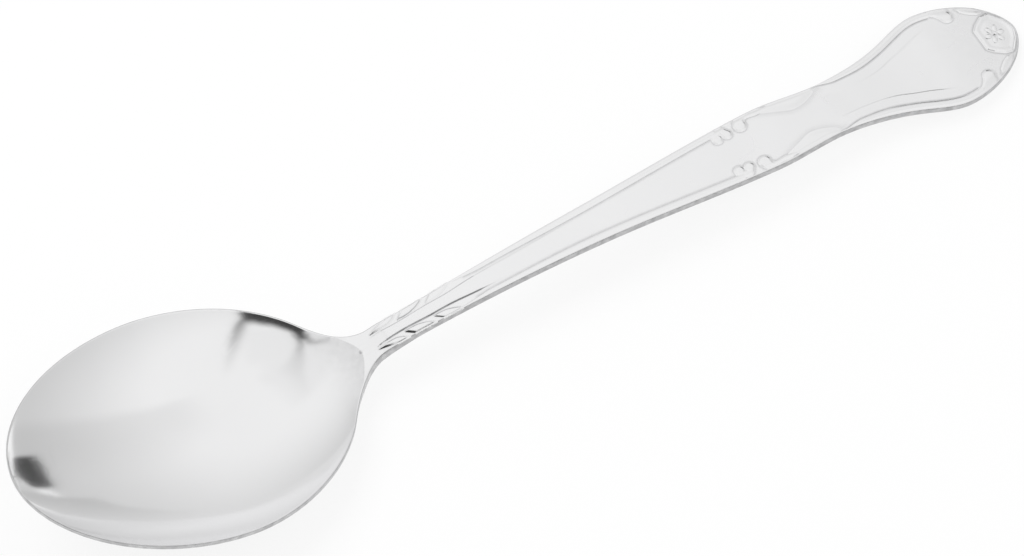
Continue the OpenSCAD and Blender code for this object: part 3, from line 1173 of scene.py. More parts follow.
    def _masks(self, points: np.ndarray, columns: np.ndarray) -> tuple[np.ndarray, np.ndarray]:
        """Values of the painted shade mask and of the edge walls' mask.

        Args:
            points: points of a zone.
            columns: place of each point round its section.

        Returns:
            The painted shade values and the edge wall values.
        """
        face, edge = self.across_steps + 1, self.edge_count
        on_face = columns < face
        back_start = face + edge
        on_wall = ((columns >= face) & (columns < back_start)) | (columns >= back_start + face)
        place = np.where(on_wall, (columns - face) % back_start, 0)
        middle = np.abs(place - (edge - 1) / 2) / ((edge - 1) / 2)
        # Edge walls: shade painted into their colour and a rougher gloss, strongest in the middle of each
        # wall
        edge_wall_shade = np.where(on_wall, 1 - smooth_step(*self.edge_shade_fade, middle), 0)
        s, y = points[:, 0], np.abs(points[:, 1])
        # Shade painted along the lines and zones, the strongest one at each place
        painted_shade = np.zeros(len(points))
        for line in self.shade_lines:
            painted_shade = np.maximum(painted_shade, line.mask(s, y))
        return np.where(on_face, painted_shade, 0), edge_wall_shade

    def zone(
        self, name: str, start: float, end: float, finish: SteelFinish, *nodes: str
    ) -> bpy.types.Object:
        """Build one zone of the blank as a closed piece.

        Args:
            name: name of the piece.
            start: place where it starts.
            end: place where it ends.
            finish: its finish.
            nodes: CAD nodes that it stands for.

        Returns:
            The piece.
        """
        first, last = (int(np.argmin(np.abs(self.rows - place))) for place in (start, end))
        loops, normals = self.loops[first : last + 1], self.normals[first : last + 1]
        count, around = loops.shape[:2]
        flat = loops.reshape(-1, 3)
        welded = np.round(flat, WELD_DIGITS)
        _, kept, ids = np.unique(welded, axis=0, return_index=True, return_inverse=True)
        ids = ids.reshape(count, around)
        after = np.roll(ids, -1, axis=1)
        quads = np.stack([ids[:-1], ids[1:], after[1:], after[:-1]], axis=-1).reshape(-1, 4)
        faces = [tuple(dict.fromkeys(quad)) for quad in quads.tolist()]
        faces = [corners for corners in faces if len(corners) > 2]
        skin = len(faces)
        if start > 0:
            faces += self._cap(ids[0])
        caps_at_start = len(faces)
        if end < self.form.length:
            faces += [corners[::-1] for corners in self._cap(ids[-1])]
        mesh = shell_mesh(name, Shell(flat[kept], faces), self.form)
        columns = np.tile(np.arange(around), count)[kept]
        painted_shade, edge_wall_shade = self._masks(flat[kept], columns)
        # Masks that paint shade along recesses and outlines and on the edge walls
        set_mask(mesh, "painted_shade", painted_shade)
        set_mask(mesh, "edge", edge_wall_shade)
        self._shade(mesh, normals.reshape(-1, 3)[kept], skin, caps_at_start)
        return make_piece(name, mesh, finish, *nodes)

    def _cap(self, ids: np.ndarray) -> list[tuple[int, ...]]:
        """Faces that close a section towards the bowl's tip.

        Args:
            ids: numbers of the points round the section.

        Returns:
            The faces.
        """
        face, edge = self.across_steps + 1, self.edge_count
        top = ids[:face]
        back = ids[face + edge : 2 * face + edge][::-1]
        left = ids[face - 1 : face + edge + 1]
        right = np.append(ids[2 * face + edge - 1 :], ids[0])
        quads = np.stack([top[:-1], top[1:], back[1:], back[:-1]], axis=-1)
        return [tuple(quad) for quad in quads.tolist()] + [tuple(left.tolist()), tuple(right.tolist())]

    @staticmethod
    def _shade(mesh: bpy.types.Mesh, normals: np.ndarray, skin: int, start_caps: int) -> None:
        """Shade a zone by the whole blank's surface, so that no line shows where zones meet.

        Args:
            mesh: mesh of the zone.
            normals: outward directions at its points.
            skin: how many of its faces lie on the outside.
            start_caps: number of the first face that closes its far end.
        """
        corner_normals = []
        for polygon in mesh.polygons:
            if polygon.index < skin:
                corner_normals += [normals[i].tolist() for i in polygon.vertices]
            else:
                out = (-1.0, 0.0, 0.0) if polygon.index < start_caps else (1.0, 0.0, 0.0)
                corner_normals += [out] * len(polygon.vertices)
        mesh.normals_split_custom_set(corner_normals)

    def build(self) -> None:
        """Build the four zones."""
        form = self.form
        self.zone("bowl_dish", 0, form.bowl_end, BOWL_STEEL, "bowl")
        self.zone("neck_blank", form.bowl_end, form.neck_end, BOWL_STEEL, "neck")
        self.zone("stem_blank", form.neck_end, form.stem_end, HANDLE_STEEL, "stem")
        self.zone("handle_end_blank", form.stem_end, form.length, HANDLE_STEEL, "handle_end")


# Raised ornament


@dataclass(frozen=True)
class Emboss:
    """Figure raised from the handle's face, given by its signed distance and its height in plan."""

    distance: Field
    along: Span
    across: Span
    height: Field
    cell: float = 0.07
    skirt: float = 0.12
    sink: float = 0.22

    def shell(self, form: SpoonForm) -> Shell:
        """Closed shell of the figure, with its skirt just under the face.

        Args:
            form: the spoon that it stands on.

        Returns:
            The shell.
        """
        sides = [np.arange(low, high + self.cell, self.cell) for low, high in (self.along, self.across)]
        s_grid, y_grid = np.meshgrid(*sides, indexing="ij")
        plan, polygons = self._contour(s_grid, y_grid, self.distance(s_grid, y_grid) - self.skirt)
        ground = form.face_z(plan[:, 0], plan[:, 1])
        top = np.column_stack([plan, ground + self.height(plan[:, 0], plan[:, 1])])
        bottom = np.column_stack([plan, ground - self.sink])
        count = len(plan)
        walls = self._border(polygons)
        faces = [*polygons]
        faces += [tuple(i + count for i in reversed(polygon)) for polygon in polygons]
        faces += [(b, a, a + count, b + count) for a, b in walls]
        return Shell(np.concatenate([top, bottom]), faces)

    @staticmethod
    def _contour(
        s: np.ndarray, y: np.ndarray, level: np.ndarray
    ) -> tuple[np.ndarray, list[tuple[int, ...]]]:
        """Cells of a grid, cut along the line where a value is zero.

        Args:
            s: places along the spoon, by grid point.
            y: places across it.
            level: the value, negative where cells are kept.

        Returns:
            Points in plan, and polygons of their numbers.
        """
        points: list[Span] = []
        numbers: dict[tuple[tuple[int, int], tuple[int, int]], int] = {}

        def number(a: tuple[int, int], b: tuple[int, int]) -> int:
            """Number of a grid point, or of the point between two where the value is zero.

            Args:
                a: row and column of a grid point.
                b: the same again, or a neighbour.

            Returns:
                The number.
            """
            key = (a, b) if a <= b else (b, a)
            if key not in numbers:
                numbers[key] = len(points)
                t = 0.0 if a == b else level[key[0]] / (level[key[0]] - level[key[1]])
                points.append(tuple(grid[key[0]] + t * (grid[key[1]] - grid[key[0]]) for grid in (s, y)))
            return numbers[key]

        kept = level < 0
        touched = kept[:-1, :-1] | kept[1:, :-1] | kept[1:, 1:] | kept[:-1, 1:]
        polygons = []
        for i, j in np.argwhere(touched).tolist():
            corners = [(i, j), (i + 1, j), (i + 1, j + 1), (i, j + 1)]
            polygon = []
            for a, b in zip(corners, corners[1:] + corners[:1]):
                if kept[a]:
                    polygon.append(number(a, a))
                if kept[a] != kept[b]:
                    polygon.append(number(a, b))
            if len(polygon) > 2:
                polygons.append(tuple(polygon))
        return np.array(points), polygons

    @staticmethod
    def _border(polygons: Sequence[tuple[int, ...]]) -> list[tuple[int, int]]:
        """Edges that only one polygon has.

        Args:
            polygons: numbers of the points of each polygon.

        Returns:
            The edges, each in its polygon's direction.
        """
        edges = {
            (a, b) for polygon in polygons for a, b in zip(polygon, polygon[1:] + polygon[:1])
        }
        return [(a, b) for a, b in sorted(edges) if (b, a) not in edges]


def raised(relief: float, wall: float, dome: float = 0.0) -> Curve:
    """Height of a figure by the distance inside its outline.

    Args:
        relief: height of its shoulder.
        wall: width of the slope up to that.
        dome: further rise towards its middle.

    Returns:
        A function of the distance.
    """

    def height(inside: np.ndarray) -> np.ndarray:
        """Height over the face."""
        return relief * smooth_step(0, wall, inside) + dome * (1 - np.exp(-inside / wall))

    return height


@dataclass
class Ornament:
    """Raised figures that stand on both edges of the handle, or on its axis."""

    form: SpoonForm
    relief: float = 0.24
    wall: float = 0.42
    dome: float = 0.04
    edge_gap: float = 0.26
    edge_fade: float = 0.95
    edge_sink: float = 0.03
    skirt_slope: float = 0.5
    slope_step: float = 0.05

    def inset(self, s: np.ndarray, y: np.ndarray) -> np.ndarray:
        """Distance from the handle's edge, at right angles to it."""
        slope = slope_at(self.form.half_width, s, self.slope_step)
        return (self.form.half_width(s) - np.abs(y)) / np.hypot(1, slope)

    def emboss(self, distance: Field, at: float, along: Span, across: Span, rise: Curve) -> Emboss:
        """Raise a figure that may run out to the handle's edge, and sinks into the face there.

        Args:
            distance: signed distance to the figure's outline.
            at: place that the figure's box is measured from.
            along: start and end of the box along the spoon, from that place.
            across: start and end of the box across the spoon.
            rise: height by the distance inside the outline.

        Returns:
            The figure.
        """

        def outline(s: np.ndarray, y: np.ndarray) -> np.ndarray:
            """Distance to the figure without what lies on the rounded edge."""
            return np.maximum(distance(s, y), self.edge_gap - self.inset(s, y))

        def height(s: np.ndarray, y: np.ndarray) -> np.ndarray:
            """Height over the face, and of the skirt below it.

            Args:
                s: places along the spoon.
                y: places across it.

            Returns:
                The heights there.
            """
            inside = -distance(s, y)
            near = 1 - smooth_step(self.edge_gap, self.edge_fade, self.inset(s, y))
            up = rise(np.maximum(inside, 0)) * (1 - near) - self.edge_sink * near
            return np.where(inside > 0, up, inside * self.skirt_slope)

        return Emboss(outline, (at + along[0], at + along[1]), across, height)

    def both_edges(self, name: str, figures: Sequence[Emboss], *nodes: str) -> bpy.types.Object:
        """Build figures on the left edge, repeat them on the right one and dress them.

        Args:
            name: name of the piece.
            figures: the figures on the left edge.
            nodes: CAD nodes that the piece stands for.

        Returns:
            The piece.
        """
        shells = [figure.shell(self.form) for figure in figures]
        shells += [shell.mirrored() for shell in shells]
        mesh = shell_mesh(name, Shell.joined(shells), self.form)
        return make_piece(name, mesh, RELIEF_STEEL, *nodes)


@dataclass
class WaistOrnament(Ornament):
    """Curls at the waist: lobes that end the stem's bead, a hook that starts the next stretch, and leaves.

    Places along the spoon are measured from the waist.
    """

    relief: float = 0.14
    lobes: Sequence[tuple[Disc, Disc]] = (
        ((-6.6, 4.9, 0.8), (-6.45, 3.3, 0.95)),
        ((-5.3, 4.9, 0.55), (-4.65, 3.42, 0.92)),
        ((-6.1, 4.9, 0.9), (-5.75, 4.25, 0.75)),
    )
    knob: tuple[Disc, Disc] = ((-1.75, 5.0, 0.85), (-2.0, 3.8, 1.15))
    tail: Sequence[Disc] = (
        (-1.6, 5.1, 0.6), (0.0, 5.15, 0.7), (1.4, 5.0, 0.75), (3.2, 4.7, 0.3),
    )
    tail_blend: float = 0.7
    leaf_line: Stations = (
        (0.5, 4.7), (2.5, 4.0), (5.0, 3.1), (7.0, 2.45), (9.0, 2.6), (11.0, 3.3), (12.6, 4.2),
    )
    leaf_relief: float = 0.1
    leaf_wall: float = 1.2
    lobe_along: Span = (-8.4, -3.2)
    lobe_inner: float = 1.8
    hook_along: Span = (-3.8, 4.0)
    hook_inner: float = 2.2
    leaf_along: Span = (0.0, 13.2)
    leaf_inner: float = 2.0

    def lobe_distance(self, s: np.ndarray, y: np.ndarray) -> np.ndarray:
        """Distance to the pair of lobes."""
        along = s - self.form.waist_at
        return np.min([bar(along, y, *lobe) for lobe in self.lobes], axis=0)

    def hook_distance(self, s: np.ndarray, y: np.ndarray) -> np.ndarray:
        """Distance to the hook."""
        along = s - self.form.waist_at
        return soft_min(bar(along, y, *self.knob), chain(along, y, self.tail), self.tail_blend)

    def leaf_distance(self, s: np.ndarray, y: np.ndarray) -> np.ndarray:
        """Distance to the long soft leaf between the hook and the pinch.

        Args:
            s: places along the spoon.
            y: places across it.

        Returns:
            Signed distances, negative inside.
        """
        along = s - self.form.waist_at
        start, end = self.leaf_line[0][0], self.leaf_line[-1][0]
        slope = slope_at(lambda x: smooth_curve(self.leaf_line, x), along, 2 * self.slope_step)
        across = (smooth_curve(self.leaf_line, along) - y) / np.hypot(1, slope)
        return np.max([across, start - along, along - end], axis=0)

    def build(self) -> None:
        """Build the curls and the leaves."""
        waist, half = self.form.waist_at, self.form.waist_w / 2
        height = raised(self.relief, self.wall, self.dome)
        curls = [
            self.emboss(self.lobe_distance, waist, self.lobe_along, (self.lobe_inner, half), height),
            self.emboss(self.hook_distance, waist, self.hook_along, (self.hook_inner, half), height),
        ]
        self.both_edges("waist_scroll_curls", curls, "waist_scrolls")
        soft = raised(self.leaf_relief, self.leaf_wall)
        leaf = self.emboss(self.leaf_distance, waist, self.leaf_along, (self.leaf_inner, half), soft)
        self.both_edges("waist_leaf_pair", [leaf], "waist_leaves")


@dataclass
class EndOrnament(Ornament):
    """Hooked curls at the ends of the end's beads, and the leaves between them and the medallion.

    Places along the spoon are measured from where the handle's end is widest.
    """

    relief: float = 0.14
    dome: float = 0.05
    edge_fade: float = 1.7
    hook: tuple[Disc, Disc] = ((4.6, 7.6, 1.1), (5.05, 6.35, 1.15))
    band: Sequence[Disc] = (
        (1.0, 8.6, 0.7), (2.4, 8.45, 0.72), (3.6, 8.1, 0.85), (4.5, 7.7, 0.95),
    )
    hook_blend: float = 0.9
    leaf: Sequence[Disc] = (
        (7.0, 6.95, 0.15), (7.9, 6.4, 0.6), (9.0, 5.65, 0.75), (9.9, 5.0, 0.6), (10.7, 4.5, 0.2),
    )
    hook_along: Span = (0.0, 6.8)
    hook_inner: float = 4.6
    leaf_along: Span = (6.6, 11.2)
    leaf_inner: float = 4.0
    leaf_gap: float = 1.4

    def hook_distance(self, s: np.ndarray, y: np.ndarray) -> np.ndarray:
        """Distance to the hook and the stretch of band that it grows from."""
        along = s - self.form.end_at
        return soft_min(bar(along, y, *self.hook), chain(along, y, self.band), self.hook_blend)

    def leaf_distance(self, s: np.ndarray, y: np.ndarray) -> np.ndarray:
        """Distance to the leaf by the medallion."""
        return chain(s - self.form.end_at, y, self.leaf)

    def build(self) -> None:
        """Build the hooks and the leaves."""
        end, half = self.form.end_at, self.form.end_w / 2
        height = raised(self.relief, self.wall, self.dome)
        hook = self.emboss(self.hook_distance, end, self.hook_along, (self.hook_inner, half), height)
        self.both_edges("end_scroll_hooks", [hook], "end_scrolls")
        across = (self.leaf_inner, half - self.leaf_gap)
        leaf = self.emboss(self.leaf_distance, end, self.leaf_along, across, height)
        self.both_edges("tip_leaf_tabs", [leaf], "tip_leaves")


@dataclass
class Medallion(Ornament):
    """Shield at the handle's tip, with a raised rim and a small flower.

    Places along the spoon are measured from the tip.
    """

    corners: Stations = (
        (-6.0, -1.8), (-5.4, -2.4), (-4.0, -3.3), (-2.9, -3.4), (-1.4, -1.7), (-0.95, -0.5),
        (-0.95, 0.5), (-1.4, 1.7), (-2.9, 3.4), (-4.0, 3.3), (-5.4, 2.4), (-6.0, 1.8),
    )
    corner_r: float = 0.7
    rim_w: float = 0.5
    rim_h: float = 0.08
    rim_slope: float = 0.7
    flower_from_tip: float = 3.85
    petals: int = 6
    petal_ring: float = 1.15
    petal_l: float = 1.35
    petal_w: float = 0.92
    petal_h: float = 0.14
    bud_r: float = 0.42
    ball_segments: int = 20
    ball_rings: int = 12
    shield_along: Span = (-7.4, 0.0)
    shield_across: Span = (-5.0, 5.0)
    lean_step: float = 1.0

    def distance(self, s: np.ndarray, y: np.ndarray) -> np.ndarray:
        """Distance to the shield's outline."""
        return rounded_polygon(s - self.form.length, y, self.corners, self.corner_r)

    def height(self, inside: np.ndarray) -> np.ndarray:
        """Height over the face: the shield's rim, and its floor a little lower."""
        floor = self.rim_h * smooth_step(self.rim_w, self.rim_w + self.rim_slope, inside)
        return self.relief * smooth_step(0, self.wall, inside) - floor

    def flower_tree(self) -> bpy.types.NodeTree:
        """Geometry tree of a flower: petals round a bud, each half sunk.

        Returns:
            The tree.
        """
        sizes = ("Ring", "Petal Length", "Petal Width", "Petal Height", "Bud Radius")
        graph, given, result = new_group(
            "GeometryNodeTree",
            "flower",
            [
                ("Petals", "NodeSocketInt", self.petals),
                *((label, "NodeSocketFloat", 1.0) for label in sizes),
                ("Finish", "NodeSocketMaterial", None),
            ],
            [("Geometry", "NodeSocketGeometry")],
        )
        ring = graph.add(
            "GeometryNodeMeshCircle", {"Vertices": given.outputs["Petals"], "Radius": given.outputs["Ring"]}
        )
        fineness = {"Segments": self.ball_segments, "Rings": self.ball_rings}
        ball = graph.add("GeometryNodeMeshUVSphere", {**fineness, "Radius": 0.5})
        size = graph.add(
            "ShaderNodeCombineXYZ",
            {
                "X": given.outputs["Petal Length"],
                "Y": given.outputs["Petal Width"],
                "Z": graph.math("MULTIPLY", given.outputs["Petal Height"], 2.0),
            },
        )
        away = graph.add("GeometryNodeInputPosition").outputs[0]
        turn = graph.add("FunctionNodeAlignRotationToVector", {"Vector": away}, axis="X").outputs[0]
        petals = graph.add(
            "GeometryNodeInstanceOnPoints",
            {
                "Points": ring.outputs["Mesh"],
                "Instance": ball.outputs["Mesh"],
                "Rotation": turn,
                "Scale": size.outputs[0],
            },
        )
        bud = graph.add("GeometryNodeMeshUVSphere", {**fineness, "Radius": given.outputs["Bud Radius"]})
        parts = graph.add("GeometryNodeJoinGeometry")
        graph.tree.links.new(petals.outputs[0], parts.inputs[0])
        graph.tree.links.new(bud.outputs["Mesh"], parts.inputs[0])
        end_shape(graph, parts.outputs[0], given.outputs["Finish"], result)
        return graph.tree

    def build(self) -> None:
        """Build the shield and its flower."""
        form = self.form
        shield = self.emboss(
            self.distance, form.length, self.shield_along, self.shield_across, self.height
        )
        mesh = shell_mesh("tip_medallion", shield.shell(form), form)
        make_piece("tip_medallion", mesh, RELIEF_STEEL, "medallion")
        values = {
            "Petals": self.petals,
            "Ring": self.petal_ring * MM,
            "Petal Length": self.petal_l * MM,
            "Petal Width": self.petal_w * MM,
            "Petal Height": self.petal_h * MM,
            "Bud Radius": self.bud_r * MM,
            "Finish": RELIEF_STEEL.material(),
        }
        flower = baked("medallion_rosette", bpy.data.meshes.new("flower_seed"), self.flower_tree(), values)
        at = form.length - self.flower_from_tip
        ground = float(form.face_z(np.array([at]), np.zeros(1))[0])
        lean = math.atan(slope_at(form.edge_z, np.array([at]), self.lean_step)[0])
        place = Vector((at - form.length / 2, 0, ground + self.relief - self.rim_h)) * MM
        flower.transform(Matrix.Translation(place) @ Matrix.Rotation(-lean, 4, "Y"))
        make_piece("medallion_rosette", flower, RELIEF_STEEL, "rosette")


@dataclass
class Borders(Ornament):
    """Beads that run along the handle's edges.

    A swell of the stem's bead is a gain of width, and where it starts and ends, from the bead's own start.
    """

    stem_from: float = 74.0
    stem_to: float = 126.0
    stem_width: float = 1.28
    end_width: float = 1.36
    end_narrow: float = 0.62
    pitch: float = 0.3
    outer_gap: float = 0.06
    point_share: float = 0.1
    stem_swell: Sequence[tuple[float, float, float]] = ((0.48, 0.0, 8.0), (0.42, 4.0, 27.0))
    # How far past the stem bead's start its line of painted shade begins
    stem_shade_lead: float = 5.0
    end_lead: float = 2.0
    end_tail: float = 2.6
    # How far past the end's widest place the end bead's line of painted shade runs
    end_shade_tail: float = 2.0
    end_swell: Span = (2.0, 10.0)
    end_point_l: float = 4.0
    ring_points: int = 28
    round_pow: float = 1.5

    @property
    def end_from(self) -> float:
        """Place where the end's beads start."""
        return self.form.pinch_at - self.end_lead

    def tree(self) -> bpy.types.NodeTree:
        """Geometry tree of a low round bead that follows a path.

        Returns:
            The tree.
        """
        graph, given, result = new_group(
            "GeometryNodeTree",
            "border_bead",
            [
                ("Path", "NodeSocketGeometry", None),
                ("Width", "NodeSocketFloat", 0.001),
                ("Height", "NodeSocketFloat", 0.0003),
                ("Finish", "NodeSocketMaterial", None),
            ],
            [("Geometry", "NodeSocketGeometry")],
        )
        ring = {"Resolution": self.ring_points, "Radius": 1.0}
        circle = graph.add("GeometryNodeCurvePrimitiveCircle", ring)
        place = graph.add("ShaderNodeSeparateXYZ", {0: graph.add("GeometryNodeInputPosition").outputs[0]})
        steep = graph.math("POWER", graph.math("ABSOLUTE", place.outputs["Y"]), self.round_pow)
        upward = graph.math("MULTIPLY", steep, graph.math("SIGN", place.outputs["Y"]))
        half = graph.math("MULTIPLY", given.outputs["Width"], 0.5)
        shape = graph.add(
            "ShaderNodeCombineXYZ",
            {
                "X": graph.math("MULTIPLY", place.outputs["X"], half),
                "Y": graph.math("MULTIPLY", upward, given.outputs["Height"]),
            },
        )
        profile = graph.add(
            "GeometryNodeSetPosition", {"Geometry": circle.outputs["Curve"], "Position": shape.outputs[0]}
        )
        path = graph.add("GeometryNodeMeshToCurve", {"Mesh": given.outputs["Path"]})
        upright = graph.add("GeometryNodeSetCurveNormal", {"Curve": path.outputs[0]}, mode="Z_UP")
        size = graph.add("GeometryNodeInputNamedAttribute", {"Name": "size"}, data_type="FLOAT")
        swept = graph.add(
            "GeometryNodeCurveToMesh",
            {
                "Curve": upright.outputs[0],
                "Profile Curve": profile.outputs[0],
                "Scale": size.outputs["Attribute"],
                "Fill Caps": True,
            },
        )
        end_shape(graph, swept.outputs[0], given.outputs["Finish"], result)
        return graph.tree

    def stem_size(self, s: np.ndarray) -> np.ndarray:
        """Share of its full width that the stem's bead has."""
        past = s - self.stem_from
        return self.point_share + sum(gain * smooth_step(a, b, past) for gain, a, b in self.stem_swell)

    def end_size(self, s: np.ndarray) -> np.ndarray:
        """Share of its full width that the end's bead has.

        Args:
            s: places along the spoon.

        Returns:
            The shares there.
        """
        past = s - self.end_from
        full = self.end_narrow + (1 - self.end_narrow) * smooth_step(*self.end_swell, past)
        return full * (self.point_share + (1 - self.point_share) * smooth_step(0, self.end_point_l, past))

    def stem_line(self, s: np.ndarray, y: np.ndarray) -> np.ndarray:
        """Distance from the stem bead's foot on the panel's side, along which shade is painted."""
        off = self.inset(s, y) - self.stem_width * self.stem_size(s) - self.outer_gap
        return np.max([off, self.stem_from + self.stem_shade_lead - s, s - self.stem_to], axis=0)

    def end_line(self, s: np.ndarray, y: np.ndarray) -> np.ndarray:
        """Distance from the end bead's foot on the panel's side, along which shade is painted."""
        off = self.inset(s, y) - self.end_width * self.end_size(s) - self.outer_gap
        return np.max([off, self.end_from - s, s - self.form.end_at - self.end_shade_tail], axis=0)

    def path(self, places: np.ndarray, width: float, size: np.ndarray) -> bpy.types.Mesh:
        """Lines along both edges for the bead to follow.

        Args:
            places: places along the spoon.
            width: full width of the bead.
            size: share of that width at each place.

        Returns:
            A mesh of two lines, with the bead's size at their points.
        """
        form = self.form
        w = form.half_width(places)
        slope = np.gradient(w, places)
        y = w - (self.outer_gap + width * size / 2) * np.hypot(1, slope)
        left = np.column_stack([places, y, form.face_z(places, y)])
        points = np.concatenate([left, left * (1, -1, 1)])
        count = len(places)
        edges = [(i, i + 1) for i in range(2 * count - 1) if i != count - 1]
        mesh = bpy.data.meshes.new("bead_path")
        mesh.from_pydata(((points - (form.length / 2, 0, 0)) * MM).tolist(), edges, [])
        set_mask(mesh, "size", np.concatenate([size, size]))
        return mesh

    def bead(self, name: str, ends: Span, width: float, size: Curve, node: str) -> None:
        """Build the beads of one stretch on both edges.

        Args:
            name: name of the piece.
            ends: places where they start and end.
            width: their full width.
            size: share of that width, by place.
            node: CAD node that they stand for.
        """
        places = np.linspace(*ends, math.ceil((ends[1] - ends[0]) / self.pitch) + 1)
        path = self.path(places, width, size(places))
        tree = bpy.data.node_groups.get("border_bead") or self.tree()
        values = {"Width": width * MM, "Height": self.relief * MM, "Finish": RELIEF_STEEL.material()}
        make_piece(name, baked(name, path, tree, values), RELIEF_STEEL, node)

    def build(self) -> None:
        """Build the beads of the stem and of the end."""
        stem = (self.stem_from, self.stem_to)
        self.bead("stem_border_beads", stem, self.stem_width, self.stem_size, "stem_borders")
        end = (self.end_from, self.form.end_at + self.end_tail)
        self.bead("end_border_beads", end, self.end_width, self.end_size, "end_borders")


@dataclass
class NeckLeaves(Ornament):
    """Overlapping leaves along the edges of the neck, with their tips turned out to the edge.

    Each leaf has a height and its corners.
    """

    leaves: Sequence[tuple[float, Stations]] = (
        (
            0.18,
            (
                (61.7, 1.45), (63.5, 1.38), (64.8, 1.42), (65.8, 1.8), (66.6, 2.45),
                (65.7, 2.45), (64.9, 2.28), (64.0, 2.08), (63.1, 1.86), (62.3, 1.63),
            ),
        ),
        (
            0.25,
            (
                (66.5, 1.2), (67.5, 1.15), (68.7, 1.25), (69.8, 1.55),
                (70.7, 1.95), (71.4, 2.45), (68.05, 2.45),
            ),
        ),
        (
            0.13,
            (
                (71.6, 1.35), (72.6, 1.3), (73.7, 1.42), (74.7, 1.75),
                (75.5, 2.1), (76.0, 2.45), (73.0, 2.45),
            ),
        ),
    )
    corner_r: float = 0.14
    margin: float = 0.4
    wall: float = 0.3
    dome: float = 0.06
    edge_gap: float = 0.1
    edge_fade: float = 0.32

    def leaf(self, corners: Stations) -> Field:
        """Distance to the leaf with these corners."""
        return lambda s, y: rounded_polygon(s, y, corners, self.corner_r)

    def distance(self, s: np.ndarray, y: np.ndarray) -> np.ndarray:
        """Distance to the row of leaves."""
        return np.min([self.leaf(corners)(s, y) for _, corners in self.leaves], axis=0)

    def build(self) -> None:
        """Build the leaves of both edges."""
        figures = []
        for height, corners in self.leaves:
            low, high = np.min(corners, axis=0) - self.margin, np.max(corners, axis=0) + self.margin
            along, across = zip(low, high)
            rise = raised(height, self.wall, self.dome)
            figures.append(self.emboss(self.leaf(corners), 0.0, along, across, rise))
        self.both_edges("neck_leaf_rows", figures, "neck_leaves")


# Studio


@dataclass(frozen=True)
class PhotoCamera:
    """Camera at the photograph's view. Lengths are in millimetres, and the clip distances in metres."""

    elevation_deg: float = 61.0
    swing_deg: float = 30.903
    roll_deg: float = 0.162
    distance: float = 902.0
    pixels_per_mm: float = 6.4405
    target: Point = (-4.1535, -0.8836, 6.013)
    sensor_mm: float = 36.0
    clip: Span = (0.01, 10.0)

    def build(self) -> None:
        """Make the camera and set it as the scene's."""
        lift, swing, roll = (
            math.radians(angle) for angle in (self.elevation_deg, self.swing_deg, self.roll_deg)
        )
        level = Vector((math.sin(swing), math.cos(swing), 0))
        ahead = math.cos(lift) * level - math.sin(lift) * Vector((0, 0, 1))
        right = Vector((math.cos(swing), -math.sin(swing), 0))
        up = math.sin(lift) * level + math.cos(lift) * Vector((0, 0, 1))
        right, up = (
            math.cos(roll) * right + math.sin(roll) * up,
            math.cos(roll) * up - math.sin(roll) * right,
        )
        data = bpy.data.cameras.new("photo_camera")
        data.sensor_width = self.sensor_mm
        data.lens = self.pixels_per_mm * self.distance * self.sensor_mm / PHOTO_WIDTH
        data.clip_start, data.clip_end = self.clip
        camera = bpy.data.objects.new("photo_camera", data)
        bpy.context.scene.collection.objects.link(camera)
        turn = Matrix((right, up, -ahead)).transposed().to_4x4()
        camera.matrix_world = Matrix.Translation((Vector(self.target) - ahead * self.distance) * MM) @ turn
        bpy.context.scene.camera = camera


